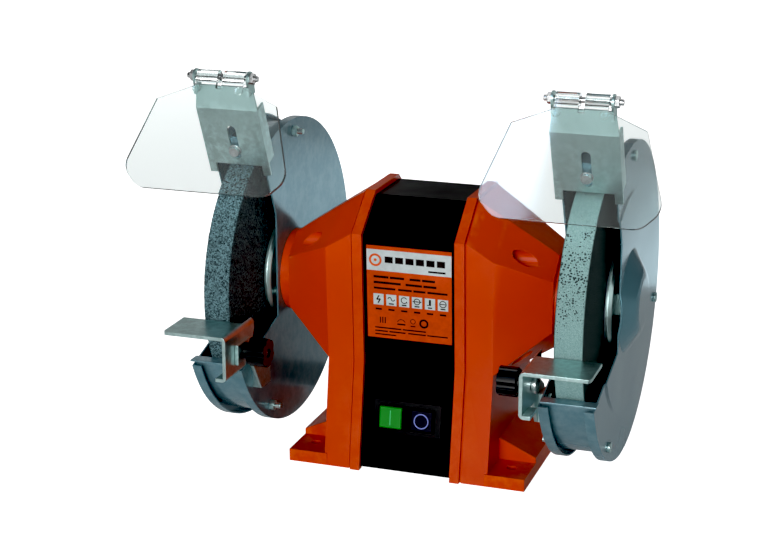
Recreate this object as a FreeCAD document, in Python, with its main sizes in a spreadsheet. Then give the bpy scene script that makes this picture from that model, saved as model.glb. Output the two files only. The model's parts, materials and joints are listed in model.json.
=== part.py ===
import FreeCAD, Part
import math
import os
import re
import Sketcher

# Bench grinder for two 200 mm wheels.  Millimetres, +Z up.
# X runs along the shaft, the operator stands on the -Y side, and the origin is the centre of
# the footprint, on the bench top.  The right-hand pieces are modelled, and the left-hand ones
# are their mirror images in the plane X = 0.

doc = FreeCAD.newDocument("bench_grinder")
sheet = doc.addObject("Spreadsheet::Sheet", "sizes")

SIZES = {
    # wheels and shaft line
    "wheel_radius": 100, "wheel_width": 20, "wheel_plane": 125, "wheel_bore": 8,
    "washer_thick": 0.6, "washer_radius": 38, "flange_radius": 40, "flange_thick": 4.5,
    "flange_rim": 8, "flange_relief": 1.5, "flange_edge": 2, "flange_hub_radius": 13,
    "nut_flats": 24, "nut_thick": 8, "shaft_stub": 4, "slip_gap": 0.05, "part_gap": 0.3,
    # bearings, rotor and stator
    "shaft_core_radius": 11, "bearing_bore": 8.5, "bearing_radius": 20, "bearing_width": 12,
    "bearing_depth": 12, "race_thick": 3.5, "ball_gap": 0.7, "rotor_radius": 27,
    "ring_thick": 7, "ring_wall": 8, "ring_inset": 2, "air_gap": 0.5, "stator_gap": 0.6,
    "winding_reach": 16, "winding_wall": 11, "winding_gap": 3, "winding_taper": 2,
    # motor housing, as half sections of the hourglass outline seen along the shaft
    "body_rise": 69.5, "top_half": 25, "crease_half": 54.5, "crease_rise": 45.7,
    "waist_half": 50, "waist_drop": 48.2, "foot_half": 61.5, "lean_share": 0.4,
    "cover_half": 33.7, "rim_width": 8.3, "rim_proud": 1.8, "cover_sunk": 1.2,
    "cover_wall": 2.2, "shell_wall": 4, "groove_width": 1.2, "groove_depth": 1.1,
    "lap": 0.01, "stem_depth": 19, "shoulder_drop": 12.1, "shoulder_in": 3,
    "shoulder_crease_drop": 11.3, "hub_out": 8, "hub_wall": 13, "hub_chamfer": 14.85,
    "hub_corner": 17, "hub_fall": 8.8, "nose_wall": 10, "shaft_hole_gap": 2.5,
    "tie_in": 15, "tie_up_in": 12, "tie_down_in": 8, "tie_radius": 2.5, "tie_boss": 6.5,
    "tie_head_radius": 4.6, "tie_head_thick": 3.2, "tie_depth": 5, "tie_recess": 5.6,
    "tie_slot": 1.1,
    # feet and floor plate
    "foot_out": 27, "foot_thick": 9, "wedge_gap": 13, "wedge_rise": 26, "wedge_edge": 13,
    "bolt_hole": 3.6, "bolt_out": 13, "bolt_in": 18.5, "floor_lift": 2, "floor_inset": 1,
    "floor_thick": 1.5,
    # label and switch
    "label_margin": 2.7, "label_high": 68, "label_thick": 0.4, "label_drop": 6.7,
    "switch_width": 51, "switch_high": 25, "switch_mid": 41, "bezel_thick": 2,
    "switch_depth": 26, "bezel_lap": 3.5, "bezel_rise": 3, "button_size": 16.4, "button_high": 15.4,
    "button_mid": 11.5, "button_proud": 2.6, "button_depth": 11, "button_play": 0.3,
    "button_round": 1,
    # electrical parts inside the foot
    "can_radius": 15, "can_length": 52, "can_height": 26, "can_y": 16, "clip_wall": 1,
    "tag_radius": 1.5, "tag_length": 6, "block_length": 30, "block_depth": 14,
    "block_height": 12, "block_y": -22, "block_screw": 1.6, "block_screw_deep": 3,
    "gland_radius": 8, "gland_neck": 6.5, "gland_flare": 1, "gland_taper": 2,
    "gland_bore": 3.6, "gland_reach": 10, "gland_height": 24, "gland_tail": 4,
    "gland_lap": 0.5,
    # wheel guards
    "guard_gap": 12.4, "guard_clear": 14.6, "guard_side": 9, "sheet": 1.2, "guard_rim": 7,
    "band_inset": 5.2, "mouth_y": 34, "mouth_drop": 27, "mouth_gap": 1, "lip_angle": 24.5,
    "lip_depth": 10, "lip_nose": 4.6, "brow_half": 14, "brow_low": 10.5, "brow_high": 30,
    "plate_hole": 20, "dome_radius": 37, "dome_gap": 1.7, "dome_crown": 20, "emboss": 1,
    "dome_round": 14,
    "emboss_inset": 34.4, "bolt_gap": 0.6, "guard_bolt": 1.9, "guard_head": 3.6,
    "guard_nut_flats": 7, "guard_nut_thick": 3.4, "guard_bolt_end": 8, "mount_wall": 5,
    "mount_screw": 2,
    # shield bracket, hinge and eye shield
    "lean": 23.5, "spark_gap": 4.1, "spark_angle": 58.6, "bracket_over": 4,
    "bracket_taper": 2.5, "bracket_sheet": 1.6, "bracket_slope": 54.5, "bracket_wing": 11,
    "wing_low": 10, "notch_in": 5.5, "notch_deep": 8, "slide_gap": 0.2, "washer_sheet": 1,
    "slot_width": 6.4, "slot_length": 28, "slot_start": 12.5, "slot_bolt": 20.5,
    "slot_bolt_radius": 2.5, "head_lean": 12.6, "head_length": 24.1, "head_gap": 7,
    "ear_radius": 5, "bend_lap": 0.3, "rod_radius": 2, "rod_end": 5.5, "rod_nut": 7,
    "rod_nut_thick": 3, "shield_tilt": 28, "shield_thick": 3, "shield_drop": 82,
    "shield_top_drop": 19, "shield_top_out": 23.5, "shield_low_out": 16,
    "shield_fall": 3, "shield_chin": 13, "shield_neck": 8,
    "knuckle_radius": 4.6, "knuckle_start": 2, "knuckle_in": 2.9,
    # tool rest
    "rest_drop": 11, "rest_sheet": 2.5, "rest_gap": 3.2, "rest_depth": 33.8,
    "leg_out": 4, "rest_over": 4.5, "rest_corner": 3, "leg_high": 32, "leg_back_run": 15.2,
    "rest_toe": 8, "toe_length": 18, "slot_shift": 4.5, "rest_slot": 22,
    "rest_bolt_in": 6.8, "rest_bolt_drop": 17, "rest_bolt_radius": 3, "rest_head": 6,
    "rest_head_thick": 3, "arm_sheet": 2.5, "arm_run": 35, "arm_fall": 37, "arm_half": 7,
    "arm_tip": 12, "arm_shoulder": 10, "arm_foot_half": 8, "arm_foot_high": 20,
    "arm_neck": 2, "arm_screw": 5, "knob_radius": 10, "knob_length": 13, "knob_neck": 6,
    "knob_neck_length": 4, "knob_flute": 3, "flute_out": 1.5,
}

# Lengths and places that follow from the sizes above.
FITTED = {
    # guards round the wheels, and the shaft line that clears the bench
    "guard_radius": "wheel_radius + guard_gap",
    "band_radius": "guard_radius - band_inset",
    "guard_half": "wheel_width / 2 + guard_side",
    "guard_in": "wheel_plane - guard_half",
    "guard_out": "wheel_plane + guard_half",
    "shaft_height": "guard_radius + guard_clear",
    "emboss_radius": "guard_radius - emboss_inset",
    "guard_bolt_circle": "band_radius - sheet - guard_bolt - bolt_gap",
    "mouth_low": "shaft_height - mouth_drop",
    # along the shaft
    "wheel_in": "wheel_plane - wheel_width / 2",
    "wheel_out": "wheel_plane + wheel_width / 2",
    "flange_in": "wheel_in - washer_thick - flange_thick",
    "flange_out": "wheel_out + washer_thick + flange_thick",
    "flange_seat": "guard_in + 2 * part_gap",
    "shaft_end": "flange_out + nut_thick + shaft_stub",
    "dome_rise": "shaft_end - guard_out + sheet + dome_gap",
    "bell_length": "guard_in - hub_out",
    "bearing_plane": "bell_length - bearing_depth",
    "bearing_in": "bearing_plane - bearing_width / 2",
    "bearing_out": "bearing_plane + bearing_width / 2",
    "ball_radius": "(bearing_radius - bearing_bore - 2 * race_thick - ball_gap) / 2",
    "shaft_hole": "shaft_core_radius + shaft_hole_gap",
    "winding_bore": "rotor_radius + winding_gap",
    "stator_radius": "waist_half - cover_sunk - cover_wall - stator_gap",
    # housing sections
    "body_height": "shaft_height + body_rise",
    "crease_height": "shaft_height + crease_rise",
    "waist_height": "shaft_height - waist_drop",
    "cover_crease": "crease_height - lean_share * cover_sunk",
    "upper_lean": "atan((crease_half - waist_half) / (cover_crease - waist_height))",
    "lower_lean": "atan((foot_half - waist_half) / waist_height)",
    "rim_out": "cover_half + rim_width",
    "front_half": "rim_out + stem_depth",
    "inner_front": "front_half - shell_wall",
    "shoulder_height": "body_height - shoulder_drop",
    "shoulder_half": "top_half - shoulder_in",
    "shoulder_crease": "crease_height - shoulder_crease_drop",
    "hub_bottom": "waist_height - hub_fall",
    "hub_half": "bearing_radius + hub_wall",
    "hub_side": "hub_half - hub_chamfer",
    "hub_flat": "hub_half - hub_corner",
    "hub_radius": "bearing_radius + nose_wall",
    "mount_circle": "bearing_radius + mount_wall",
    "tie_y": "waist_half - tie_in",
    "tie_up": "stator_radius - tie_up_in",
    "tie_down": "stator_radius - tie_down_in",
    "tie_seat": "front_half + tie_depth",
    "foot_reach": "front_half + foot_out",
    "bolt_x": "front_half + bolt_out",
    "bolt_y": "foot_half - bolt_in",
    "wedge_half": "bolt_y - wedge_gap",
    "label_half": "cover_half - label_margin",
    "label_top": "crease_height - label_drop",
    "switch_body_half": "switch_width / 2 - bezel_lap",
    "switch_body_rise": "switch_high / 2 - bezel_rise",
    # shield bracket and hinge, from the wheel's rim under the notch
    "bracket_low_y": "(wheel_radius + spark_gap) * cos(spark_angle) - notch_deep * sin(lean)",
    "bracket_low": "shaft_height + (wheel_radius + spark_gap) * sin(spark_angle)"
                   " - notch_deep * cos(lean)",
    "crease_y": "bracket_low_y + bracket_slope * sin(lean)",
    "crease_z": "bracket_low + bracket_slope * cos(lean)",
    "hinge_y": "crease_y + head_length * sin(head_lean)",
    "hinge_z": "crease_z + head_length * cos(head_lean)",
    "bracket_width": "2 * (guard_half + bracket_over)",
    "bracket_top_width": "bracket_width - 2 * bracket_taper",
    "notch_width": "bracket_width - 2 * notch_in",
    "rod_length": "bracket_top_width + 2 * rod_end",
    "knuckle_end": "bracket_top_width / 2 - knuckle_in",
    "shield_top_half": "bracket_top_width / 2 + shield_top_out",
    "shield_low_half": "shield_top_half + shield_low_out",
    # tool rest, from the wheel's rim
    "rest_top": "shaft_height - rest_drop",
    "rest_back": "wheel_radius + rest_gap",
    "rest_front": "rest_back + rest_depth",
    "rest_leg": "guard_in - leg_out",
    "rest_reach": "guard_out + rest_over",
    "leg_bottom": "rest_top - leg_high",
    "leg_back": "rest_back - leg_back_run",
    "rest_bolt_y": "rest_back + rest_bolt_in",
    "rest_bolt_z": "rest_top - rest_bolt_drop",
    "arm_in": "rest_leg - arm_sheet - slide_gap",
    "arm_foot_mid": "rest_bolt_y - arm_run",
    "arm_foot_low": "rest_bolt_z - arm_fall",
}
MOUNT_ANGLES = (90, 210, 330)
GUARD_BOLT_ANGLES = (90, 240, 345)
BEARING_BALLS = 9
KNOB_LOBES = 6

for row, (alias, value) in enumerate(SIZES.items(), start=1):
    sheet.set(f"A{row}", alias)
    sheet.set(f"B{row}", str(value))
    sheet.setAlias(f"B{row}", alias)
doc.recompute()

WORDS = re.compile(r"[A-Za-z_]\w*")
X_AXIS = FreeCAD.Vector(1, 0, 0)
Y_AXIS = FreeCAD.Vector(0, 1, 0)
Z_AXIS = FreeCAD.Vector(0, 0, 1)
NODES = []


def expr(text):
    """Turn a sum of size names into an expression that reads the spreadsheet."""
    def spell(word):
        name = word[0]
        if name in FITTED:
            return f"({expr(FITTED[name])})"
        return f"sizes.{name}" if name in SIZES else name
    return WORDS.sub(spell, str(text))


def bind(obj, prop, text):
    obj.setExpression(prop, expr(text))


def bind_place(obj, at):
    for letter, text in zip("xyz", at):
        bind(obj, f"Placement.Base.{letter}", text)


def node(obj, name):
    """Name a finished sub-part; its label is the name of its file."""
    obj.Label = name
    NODES.append(obj)
    return obj


# ---------------------------------------------------------------- primitives and booleans

def box(size, at):
    part = doc.addObject("Part::Box", "block")
    for prop, text in zip(("Length", "Width", "Height"), size):
        bind(part, prop, text)
    bind_place(part, at)
    return part


def rod(radius, length, at, axis=X_AXIS):
    part = doc.addObject("Part::Cylinder", "rod")
    bind(part, "Radius", radius)
    bind(part, "Height", length)
    part.Placement.Rotation = FreeCAD.Rotation(Z_AXIS, axis)
    bind_place(part, at)
    return part


def hexagon(flats, length, at, axis=X_AXIS):
    part = doc.addObject("Part::Prism", "hexagon")
    part.Polygon = 6
    bind(part, "Circumradius", f"({flats}) / 2 / cos(30)")
    bind(part, "Height", length)
    part.Placement.Rotation = FreeCAD.Rotation(Z_AXIS, axis)
    bind_place(part, at)
    return part


def fuse(parts):
    whole = doc.addObject("Part::MultiFuse", "joined")
    whole.Shapes = parts
    whole.Refine = True
    return whole


def cut(base, tools):
    part = doc.addObject("Part::Cut", "cut")
    part.Base = base
    part.Tool = fuse(tools) if len(tools) > 1 else tools[0]
    part.Refine = True
    return part


def group(parts):
    """Separate solids that share one node."""
    whole = doc.addObject("Part::Compound", "group")
    whole.Links = parts
    return whole


def mirror(source):
    twin = doc.addObject("Part::Mirroring", "twin")
    twin.Source = source
    twin.Normal = X_AXIS
    return twin


def pair(obj, name):
    """The modelled right-hand piece and its left-hand twin."""
    node(obj, f"{name}_right")
    return node(mirror(obj), f"{name}_left")


# ---------------------------------------------------------------- sketches and features

def sketch(body, role, outlines, offset="0"):
    """A sketch of closed polygons, every corner held to the origin by two sizes."""
    drawn = body.newObject("Sketcher::SketchObject", "outline")
    plane = [f for f in body.Origin.OriginFeatures if f.Role == role][0]
    drawn.AttachmentSupport = [(plane, "")]
    drawn.MapMode = "FlatFace"
    bind(drawn, "AttachmentOffset.Base.z", offset)
    for outline in outlines:
        polygon(drawn, outline)
    return drawn


def polygon(drawn, outline):
    first = drawn.GeometryCount
    count = len(outline)
    here = [FreeCAD.Vector(number(a), number(b), 0) for a, b in outline]
    for i in range(count):
        drawn.addGeometry(Part.LineSegment(here[i], here[(i + 1) % count]), False)
    for i in range(count):
        drawn.addConstraint(Sketcher.Constraint(
            "Coincident", first + i, 2, first + (i + 1) % count, 1))
    for i, (across, up) in enumerate(outline):
        for kind, text, value in (("DistanceX", across, here[i].x), ("DistanceY", up, here[i].y)):
            index = drawn.addConstraint(Sketcher.Constraint(kind, -1, 1, first + i, 1, value))
            drawn.setExpression(f"Constraints[{index}]", expr(text))


def number(text):
    """The value of a sum of size names, for the starting place of a sketch corner."""
    value = sheet.evalExpression(expr(text))
    return float(getattr(value, "Value", value))


def circles(body, role, rounds, offset="0"):
    """A sketch of circles, each given as (across, up, radius)."""
    drawn = sketch(body, role, [], offset)
    for across, up, radius in rounds:
        centre = FreeCAD.Vector(number(across), number(up), 0)
        index = drawn.addGeometry(Part.Circle(centre, Z_AXIS, number(radius)), False)
        for kind, text, value in (("DistanceX", across, centre.x), ("DistanceY", up, centre.y)):
            held = drawn.addConstraint(Sketcher.Constraint(kind, -1, 1, index, 3, value))
            drawn.setExpression(f"Constraints[{held}]", expr(text))
        held = drawn.addConstraint(Sketcher.Constraint("Radius", index, number(radius)))
        drawn.setExpression(f"Constraints[{held}]", expr(radius))
    return drawn


def new_body():
    return doc.addObject("PartDesign::Body", "piece")


def pad(body, drawn, length, reverse=False):
    made = body.newObject("PartDesign::Pad", "pad")
    made.Profile = drawn
    bind(made, "Length", length)
    made.Reversed = reverse
    body.Tip = made
    return made


def pocket(body, drawn, length, reverse=False):
    made = body.newObject("PartDesign::Pocket", "pocket")
    made.Profile = drawn
    bind(made, "Length", length)
    made.Reversed = reverse
    body.Tip = made
    return made


def turned(outline):
    """A piece turned about the shaft line from (x, radius) corners."""
    body = new_body()
    drawn = sketch(body, "XY_Plane", [outline])
    made = body.newObject("PartDesign::Revolution", "turned")
    made.Profile = drawn
    made.ReferenceAxis = (drawn, ["H_Axis"])
    made.Angle = 360
    body.Tip = made
    bind_place(body, ("0", "0", "shaft_height"))
    return body


def prism(outline, start, length, role="YZ_Plane"):
    body = new_body()
    pad(body, sketch(body, role, [outline], start), length)
    return body


def loft(body, sections, kind="AdditiveLoft"):
    """A straight-sided loft through (outline, offset) sections across the shaft."""
    drawn = [sketch(body, "YZ_Plane", [outline], offset) for outline, offset in sections]
    made = body.newObject(f"PartDesign::{kind}", "loft")
    made.Profile = drawn[0]
    made.Sections = drawn[1:]
    made.Ruled = True
    body.Tip = made
    return made


def round_off(body, radius, chosen):
    """Round the edges that `chosen` picks, by a function of each edge."""
    doc.recompute()
    base = body.Tip
    names = [f"Edge{i}" for i, edge in enumerate(base.Shape.Edges, start=1) if chosen(edge)]
    made = body.newObject("PartDesign::Fillet", "rounded")
    made.Base = (base, names)
    bind(made, "Radius", radius)
    body.Tip = made
    return made


def tilt(obj, angle, at):
    """Turn a piece about X by an angle in degrees, and put its origin at `at`."""
    obj.Placement.Rotation = FreeCAD.Rotation(X_AXIS, 1)
    bind(obj, "Placement.Rotation.Angle", angle)
    bind_place(obj, at)
    return obj


# ---------------------------------------------------------------- housing sections

def section(inset, low="0"):
    """The hourglass outline of the housing as (y, z) corners, drawn in by `inset`."""
    half = [
        (f"foot_half - {inset} - ({low}) * (foot_half - waist_half) / waist_height", low),
        (f"waist_half - {inset}", "waist_height"),
        (f"crease_half - {inset}", f"crease_height - lean_share * {inset}"),
        (f"top_half - lean_share * {inset}", f"body_height - {inset}"),
    ]
    return half + [(f"-({y})", z) for y, z in reversed(half)]


def ring_section(halves):
    """An eight-cornered outline from its four (y, z) corners on the +Y side."""
    return halves + [(f"-({y})", z) for y, z in reversed(halves)]


# ---------------------------------------------------------------- motor housing

def tie_places():
    for side in (-1, 1):
        yield f"{side} * tie_y", "shaft_height + tie_up"
        yield f"{side} * tie_y", "shaft_height - tie_down"


def end_bell():
    """Cast end bell: raised rim, shoulder tapering to the bearing hub, stem and foot."""
    body = new_body()
    pad(body, sketch(body, "YZ_Plane", [section("(-rim_proud)")], "cover_half"),
        "rim_width - groove_width")
    pad(body, sketch(body, "YZ_Plane", [section("groove_depth")],
                     "rim_out - groove_width - lap"), "groove_width + 2 * lap")
    stem = [("foot_half", "0"), ("waist_half", "waist_height"),
            ("-waist_half", "waist_height"), ("-foot_half", "0")]
    pad(body, sketch(body, "YZ_Plane", [stem], "rim_out"), "front_half - rim_out")
    under = ("hub_flat", "hub_bottom")
    rim = [under, ("waist_half", "waist_height"), ("crease_half", "crease_height"),
           ("top_half", "body_height")]
    shoulder = [under, ("waist_half", "waist_height"), ("crease_half", "shoulder_crease"),
                ("shoulder_half", "shoulder_height")]
    hub = [("hub_flat", "shaft_height - hub_half"),
           ("hub_half", "shaft_height - hub_side"),
           ("hub_half", "shaft_height + hub_side"),
           ("hub_flat", "shaft_height + hub_half")]
    loft(body, [(ring_section(rim), "rim_out"), (ring_section(shoulder), "front_half"),
                (ring_section(hub), "bell_length")])
    pad(body, circles(body, "YZ_Plane", [("0", "shaft_height", "hub_radius")], "bell_length"),
        "guard_in - bell_length")
    return body


def bell_foot(body):
    """The foot beside the stem: a bolted-down plate with a wedge across its middle."""
    plate = [("front_half - shell_wall / 2", "-foot_half"), ("foot_reach", "-foot_half"),
             ("foot_reach", "foot_half"), ("front_half - shell_wall / 2", "foot_half")]
    pad(body, sketch(body, "XY_Plane", [plate]), "foot_thick")
    wedge = [("front_half - shell_wall / 2", "0"), ("foot_reach", "0"),
             ("foot_reach", "wedge_edge"), ("front_half - shell_wall / 2", "wedge_rise")]
    made = pad(body, sketch(body, "XZ_Plane", [wedge]), "2 * wedge_half")
    made.Midplane = True


def bell_cavity(body):
    """Hollow the bell to an even wall, and bore it for the bearing and the shaft."""
    floor = ("hub_flat", "hub_bottom")
    wide = [floor, ("waist_half - shell_wall", "waist_height"),
            ("crease_half - shell_wall", "crease_height - shell_wall / 2"),
            ("top_half - shell_wall / 2", "body_height - shell_wall")]
    step = [floor, ("waist_half - shell_wall", "waist_height + shell_wall"),
            ("crease_half - shell_wall", "shoulder_crease - shell_wall / 2"),
            ("shoulder_half - shell_wall / 2", "shoulder_height - shell_wall")]
    deep = [("hub_flat - shell_wall", "shaft_height - bearing_radius - shell_wall"),
            ("bearing_radius + shell_wall", "shaft_height - hub_flat"),
            ("bearing_radius + shell_wall", "shaft_height + hub_flat"),
            ("hub_flat - shell_wall", "shaft_height + bearing_radius + shell_wall")]
    loft(body, [(ring_section(wide), "cover_half"), (ring_section(wide), "rim_out"),
                (ring_section(step), "inner_front"),
                (ring_section(deep), "bearing_in - part_gap")], "SubtractiveLoft")
    leg = [("foot_half - shell_wall", "0"), ("waist_half - shell_wall", "waist_height"),
           ("-(waist_half - shell_wall)", "waist_height"), ("-(foot_half - shell_wall)", "0")]
    pocket(body, sketch(body, "YZ_Plane", [leg], "cover_half"),
           "inner_front - cover_half", reverse=True)
    seat = circles(body, "YZ_Plane", [("0", "shaft_height", "bearing_radius")],
                   "bearing_in - 1")
    pocket(body, seat, "bearing_width + 1", reverse=True)
    hole = circles(body, "YZ_Plane", [("0", "shaft_height", "shaft_hole")], "bearing_in")
    pocket(body, hole, "guard_in - bearing_in", reverse=True)


def bell_fixings(body):
    """Bosses, recesses and holes for the tie bolts, and the holes in the foot and hub."""
    places = list(tie_places())
    pad(body, circles(body, "YZ_Plane", [(y, z, "tie_boss") for y, z in places], "cover_half"),
        "tie_seat - cover_half")
    through = circles(body, "YZ_Plane", [(y, z, "tie_radius") for y, z in places],
                      "cover_half")
    pocket(body, through, "tie_seat - cover_half", reverse=True)
    recess = circles(body, "YZ_Plane", [(y, z, "tie_recess") for y, z in places], "tie_seat")
    pocket(body, recess, "bell_length - tie_seat", reverse=True)
    bolts = circles(body, "XY_Plane", [("bolt_x", "bolt_y", "bolt_hole"),
                                       ("bolt_x", "-bolt_y", "bolt_hole")])
    pocket(body, bolts, "foot_thick", reverse=True)
    screws = circles(body, "YZ_Plane", [(y, z, "mount_screw") for y, z in mount_places()],
                     "bell_length")
    pocket(body, screws, "guard_in - bell_length", reverse=True)


def mount_places():
    """Three screws round the hub hold the inner guard plate."""
    for angle in MOUNT_ANGLES:
        yield (f"mount_circle * cos({angle})",
               f"shaft_height + mount_circle * sin({angle})")


def centre_cover():
    """The black cover: one wall that wraps the front, top and back between the two rims."""
    outer = section("cover_sunk", "floor_lift")
    inner = section("(cover_sunk + cover_wall)", "floor_lift")
    body = prism(outer + inner[::-1], "-cover_half", "2 * cover_half")
    gland = circles(body, "XZ_Plane", [("0", "gland_height", "gland_neck")])
    pocket(body, gland, "foot_half + 1", reverse=False)
    window = new_body()
    pad(window, sketch(window, "XZ_Plane", [rectangle(
        "switch_body_half", "-switch_body_rise", "switch_body_rise")],
        "-switch_depth"), "2 * switch_depth")
    on_lower_face(window)
    return cut(body, [window])


def rectangle(half, low, high):
    return [(f"-({half})", low), (half, low), (half, high), (f"-({half})", high)]


def on_lower_face(piece):
    """Seat a piece on the lower front face, its origin at the middle of the switch."""
    return tilt(piece, "-lower_lean", (
        "0", "cover_sunk - foot_half + switch_mid * tan(lower_lean)", "switch_mid"))


def floor_plate():
    """Sheet floor that closes the underside between the two stems."""
    half = "foot_half - shell_wall - floor_inset"
    body = new_body()
    outline = rectangle("inner_front", f"-({half})", half)
    pad(body, sketch(body, "XY_Plane", [outline], "floor_lift"), "floor_thick")
    return body


def tie_bolts():
    """Four long bolts clamp the two bells on the stator; slotted heads on the right."""
    bolts = []
    for y, z in tie_places():
        shank = rod("tie_radius", "2 * tie_seat", ("-tie_seat", y, z))
        head = rod("tie_head_radius", "tie_head_thick", ("tie_seat", y, z))
        slot = box(("tie_slot", "2.5 * tie_head_radius", "tie_slot"),
                   ("tie_seat + tie_head_thick - tie_slot", f"{y} - 1.25 * tie_head_radius",
                    f"{z} - tie_slot / 2"))
        end = rod("tie_head_radius", "tie_head_thick", ("-tie_seat - tie_head_thick", y, z))
        end_slot = box(("tie_slot", "2.5 * tie_head_radius", "tie_slot"),
                       ("-tie_seat - tie_head_thick", f"{y} - 1.25 * tie_head_radius",
                        f"{z} - tie_slot / 2"))
        bolts.append(cut(fuse([shank, head, end]), [slot, end_slot]))
    return group(bolts)


def label_plate():
    """Thin plate on the upper front face of the centre cover."""
    body = new_body()
    low = "label_top - label_high - waist_height"
    outline = rectangle("label_half", low, f"{low} + label_high")
    pad(body, sketch(body, "XZ_Plane", [outline]), "label_thick")
    return tilt(body, "upper_lean", ("0", "-(waist_half - cover_sunk)", "waist_height"))


# ---------------------------------------------------------------- switch

def switch_housing():
    """Bezel and box of the push-button switch, with a well for each button."""
    body = new_body()
    bezel = rectangle("switch_width / 2", "-switch_high / 2", "switch_high / 2")
    pad(body, sketch(body, "XZ_Plane", [bezel]), "bezel_thick")
    inside = rectangle("switch_body_half", "-switch_body_rise", "switch_body_rise")
    pad(body, sketch(body, "XZ_Plane", [inside]), "switch_depth", reverse=True)
    wells = [button_outline(side, "button_play") for side in (-1, 1)]
    well = sketch(body, "XZ_Plane", wells, "bezel_thick")
    pocket(body, well, "bezel_thick + button_depth", reverse=False)
    return on_lower_face(body)


def button_outline(side, grow):
    """A button's front outline, `grow` larger all round."""
    left = f"{side} * button_mid - button_size / 2 - {grow}"
    right = f"{side} * button_mid + button_size / 2 + {grow}"
    low, high = f"-button_high / 2 - {grow}", f"button_high / 2 + {grow}"
    return [(left, low), (right, low), (right, high), (left, high)]


def button(side):
    body = new_body()
    outline = button_outline(side, "0")
    front = "bezel_thick + button_proud"
    drawn = sketch(body, "XZ_Plane", [outline], front)
    pad(body, drawn, f"{front} + button_depth - button_proud - 2 * part_gap", reverse=True)
    round_off(body, "button_round", lambda edge: edge.BoundBox.YMax < -number(front) + 0.1)
    return on_lower_face(body)


# ---------------------------------------------------------------- motor and wiring inside

def stator_core():
    return turned([("-cover_half", "rotor_radius + air_gap"),
                   ("cover_half", "rotor_radius + air_gap"),
                   ("cover_half", "stator_radius"), ("-cover_half", "stator_radius")])


def stator_windings():
    """The two rings of coil ends that stand out of the stator."""
    rings = []
    for start in ("cover_half", "-cover_half - winding_reach"):
        rings.append(turned([(start, "winding_bore"),
                             (f"{start} + winding_reach", "winding_bore + winding_taper"),
                             (f"{start} + winding_reach",
                              "winding_bore + winding_wall - winding_taper"),
                             (start, "winding_bore + winding_wall")]))
    return group(rings)


def shaft():
    half = [("shaft_end", "wheel_bore - slip_gap"), ("flange_seat", "wheel_bore - slip_gap"),
            ("flange_seat", "bearing_bore"), ("bearing_in", "bearing_bore"),
            ("bearing_in", "shaft_core_radius")]
    left = [(f"-({x})", r) for x, r in half]
    corners = [("-(shaft_end)", "0")] + left + half[::-1] + [("shaft_end", "0")]
    return turned(corners)


def rotor_core():
    return turned([("-cover_half", "shaft_core_radius"), ("cover_half", "shaft_core_radius"),
                   ("cover_half", "rotor_radius"), ("-cover_half", "rotor_radius")])


def rotor_rings():
    """Cast end rings of the squirrel cage."""
    rings = []
    for start in ("cover_half", "-cover_half - ring_thick"):
        rings.append(turned([(start, "rotor_radius - ring_wall - ring_inset"),
                             (f"{start} + ring_thick", "rotor_radius - ring_wall - ring_inset"),
                             (f"{start} + ring_thick", "rotor_radius - ring_inset"),
                             (start, "rotor_radius - ring_inset")]))
    return group(rings)


def race(inner, outer):
    return turned([("bearing_in", inner), ("bearing_out", inner),
                   ("bearing_out", outer), ("bearing_in", outer)])


def bearing_balls():
    """A ring of balls on the inner race, clear of the outer one."""
    balls = []
    for i in range(BEARING_BALLS):
        angle = 360 * i / BEARING_BALLS
        ball = doc.addObject("Part::Sphere", "ball")
        bind(ball, "Radius", "ball_radius")
        reach = "(bearing_bore + race_thick + ball_radius)"
        bind_place(ball, ("bearing_plane", f"{reach} * cos({angle})",
                          f"shaft_height + {reach} * sin({angle})"))
        balls.append(ball)
    return group(balls)


def capacitor():
    """Run capacitor lying along X in the hollow of the foot."""
    can = rod("can_radius", "can_length", ("-can_length / 2", "can_y", "can_height"))
    tags = [rod("tag_radius", "tag_length", ("can_length / 2", f"can_y + {side} * can_radius / 2",
                             "can_height")) for side in (-1, 1)]
    return fuse([can] + tags)


def capacitor_clip():
    """Sheet cradle that holds the can to the floor plate."""
    ring = rod("can_radius + clip_wall", "can_length / 3",
               ("-can_length / 6", "can_y", "can_height"))
    stand = box(("can_length / 3", "can_radius", "can_height - floor_lift - floor_thick"),
                ("-can_length / 6", "can_y - can_radius / 2", "floor_lift + floor_thick"))
    hole = rod("can_radius", "can_length", ("-can_length / 2", "can_y", "can_height"))
    return cut(fuse([ring, stand]), [hole])


def terminal_block():
    size = ("block_length", "block_depth", "block_height")
    at = ("-block_length / 2", "block_y", "floor_lift + floor_thick")
    top = "floor_lift + floor_thick + block_height - block_screw_deep"
    screws = [rod("block_screw", "block_screw_deep",
                  (f"{i} * block_length / 4", "block_y + block_depth / 2", top), Z_AXIS)
              for i in (-1, 0, 1)]
    return cut(box(size, at), screws)


def cord_gland(cover):
    """Empty inlet for the mains lead, fitted flush on the back of the centre cover."""
    face = "foot_half - cover_sunk - gland_height * tan(lower_lean)"
    neck = rod("gland_neck", "cover_wall + gland_tail",
               ("0", f"{face} - cover_wall - gland_tail", "gland_height"), Y_AXIS)
    collar = doc.addObject("Part::Cone", "collar")
    bind(collar, "Radius1", "gland_radius + gland_flare")
    bind(collar, "Radius2", "gland_radius - gland_taper")
    bind(collar, "Height", "gland_reach")
    collar.Placement.Rotation = FreeCAD.Rotation(Z_AXIS, Y_AXIS)
    bind_place(collar, ("0", f"{face} - gland_lap", "gland_height"))
    bore = rod("gland_bore", "4 * gland_reach", ("0", f"{face} - 2 * gland_reach",
                                                 "gland_height"), Y_AXIS)
    return cut(fuse([neck, collar]), [bore, cover])


# ---------------------------------------------------------------- wheels

def wheel():
    return turned([("wheel_in", "wheel_bore"), ("wheel_out", "wheel_bore"),
                   ("wheel_out", "wheel_radius"), ("wheel_in", "wheel_radius")])


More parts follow.
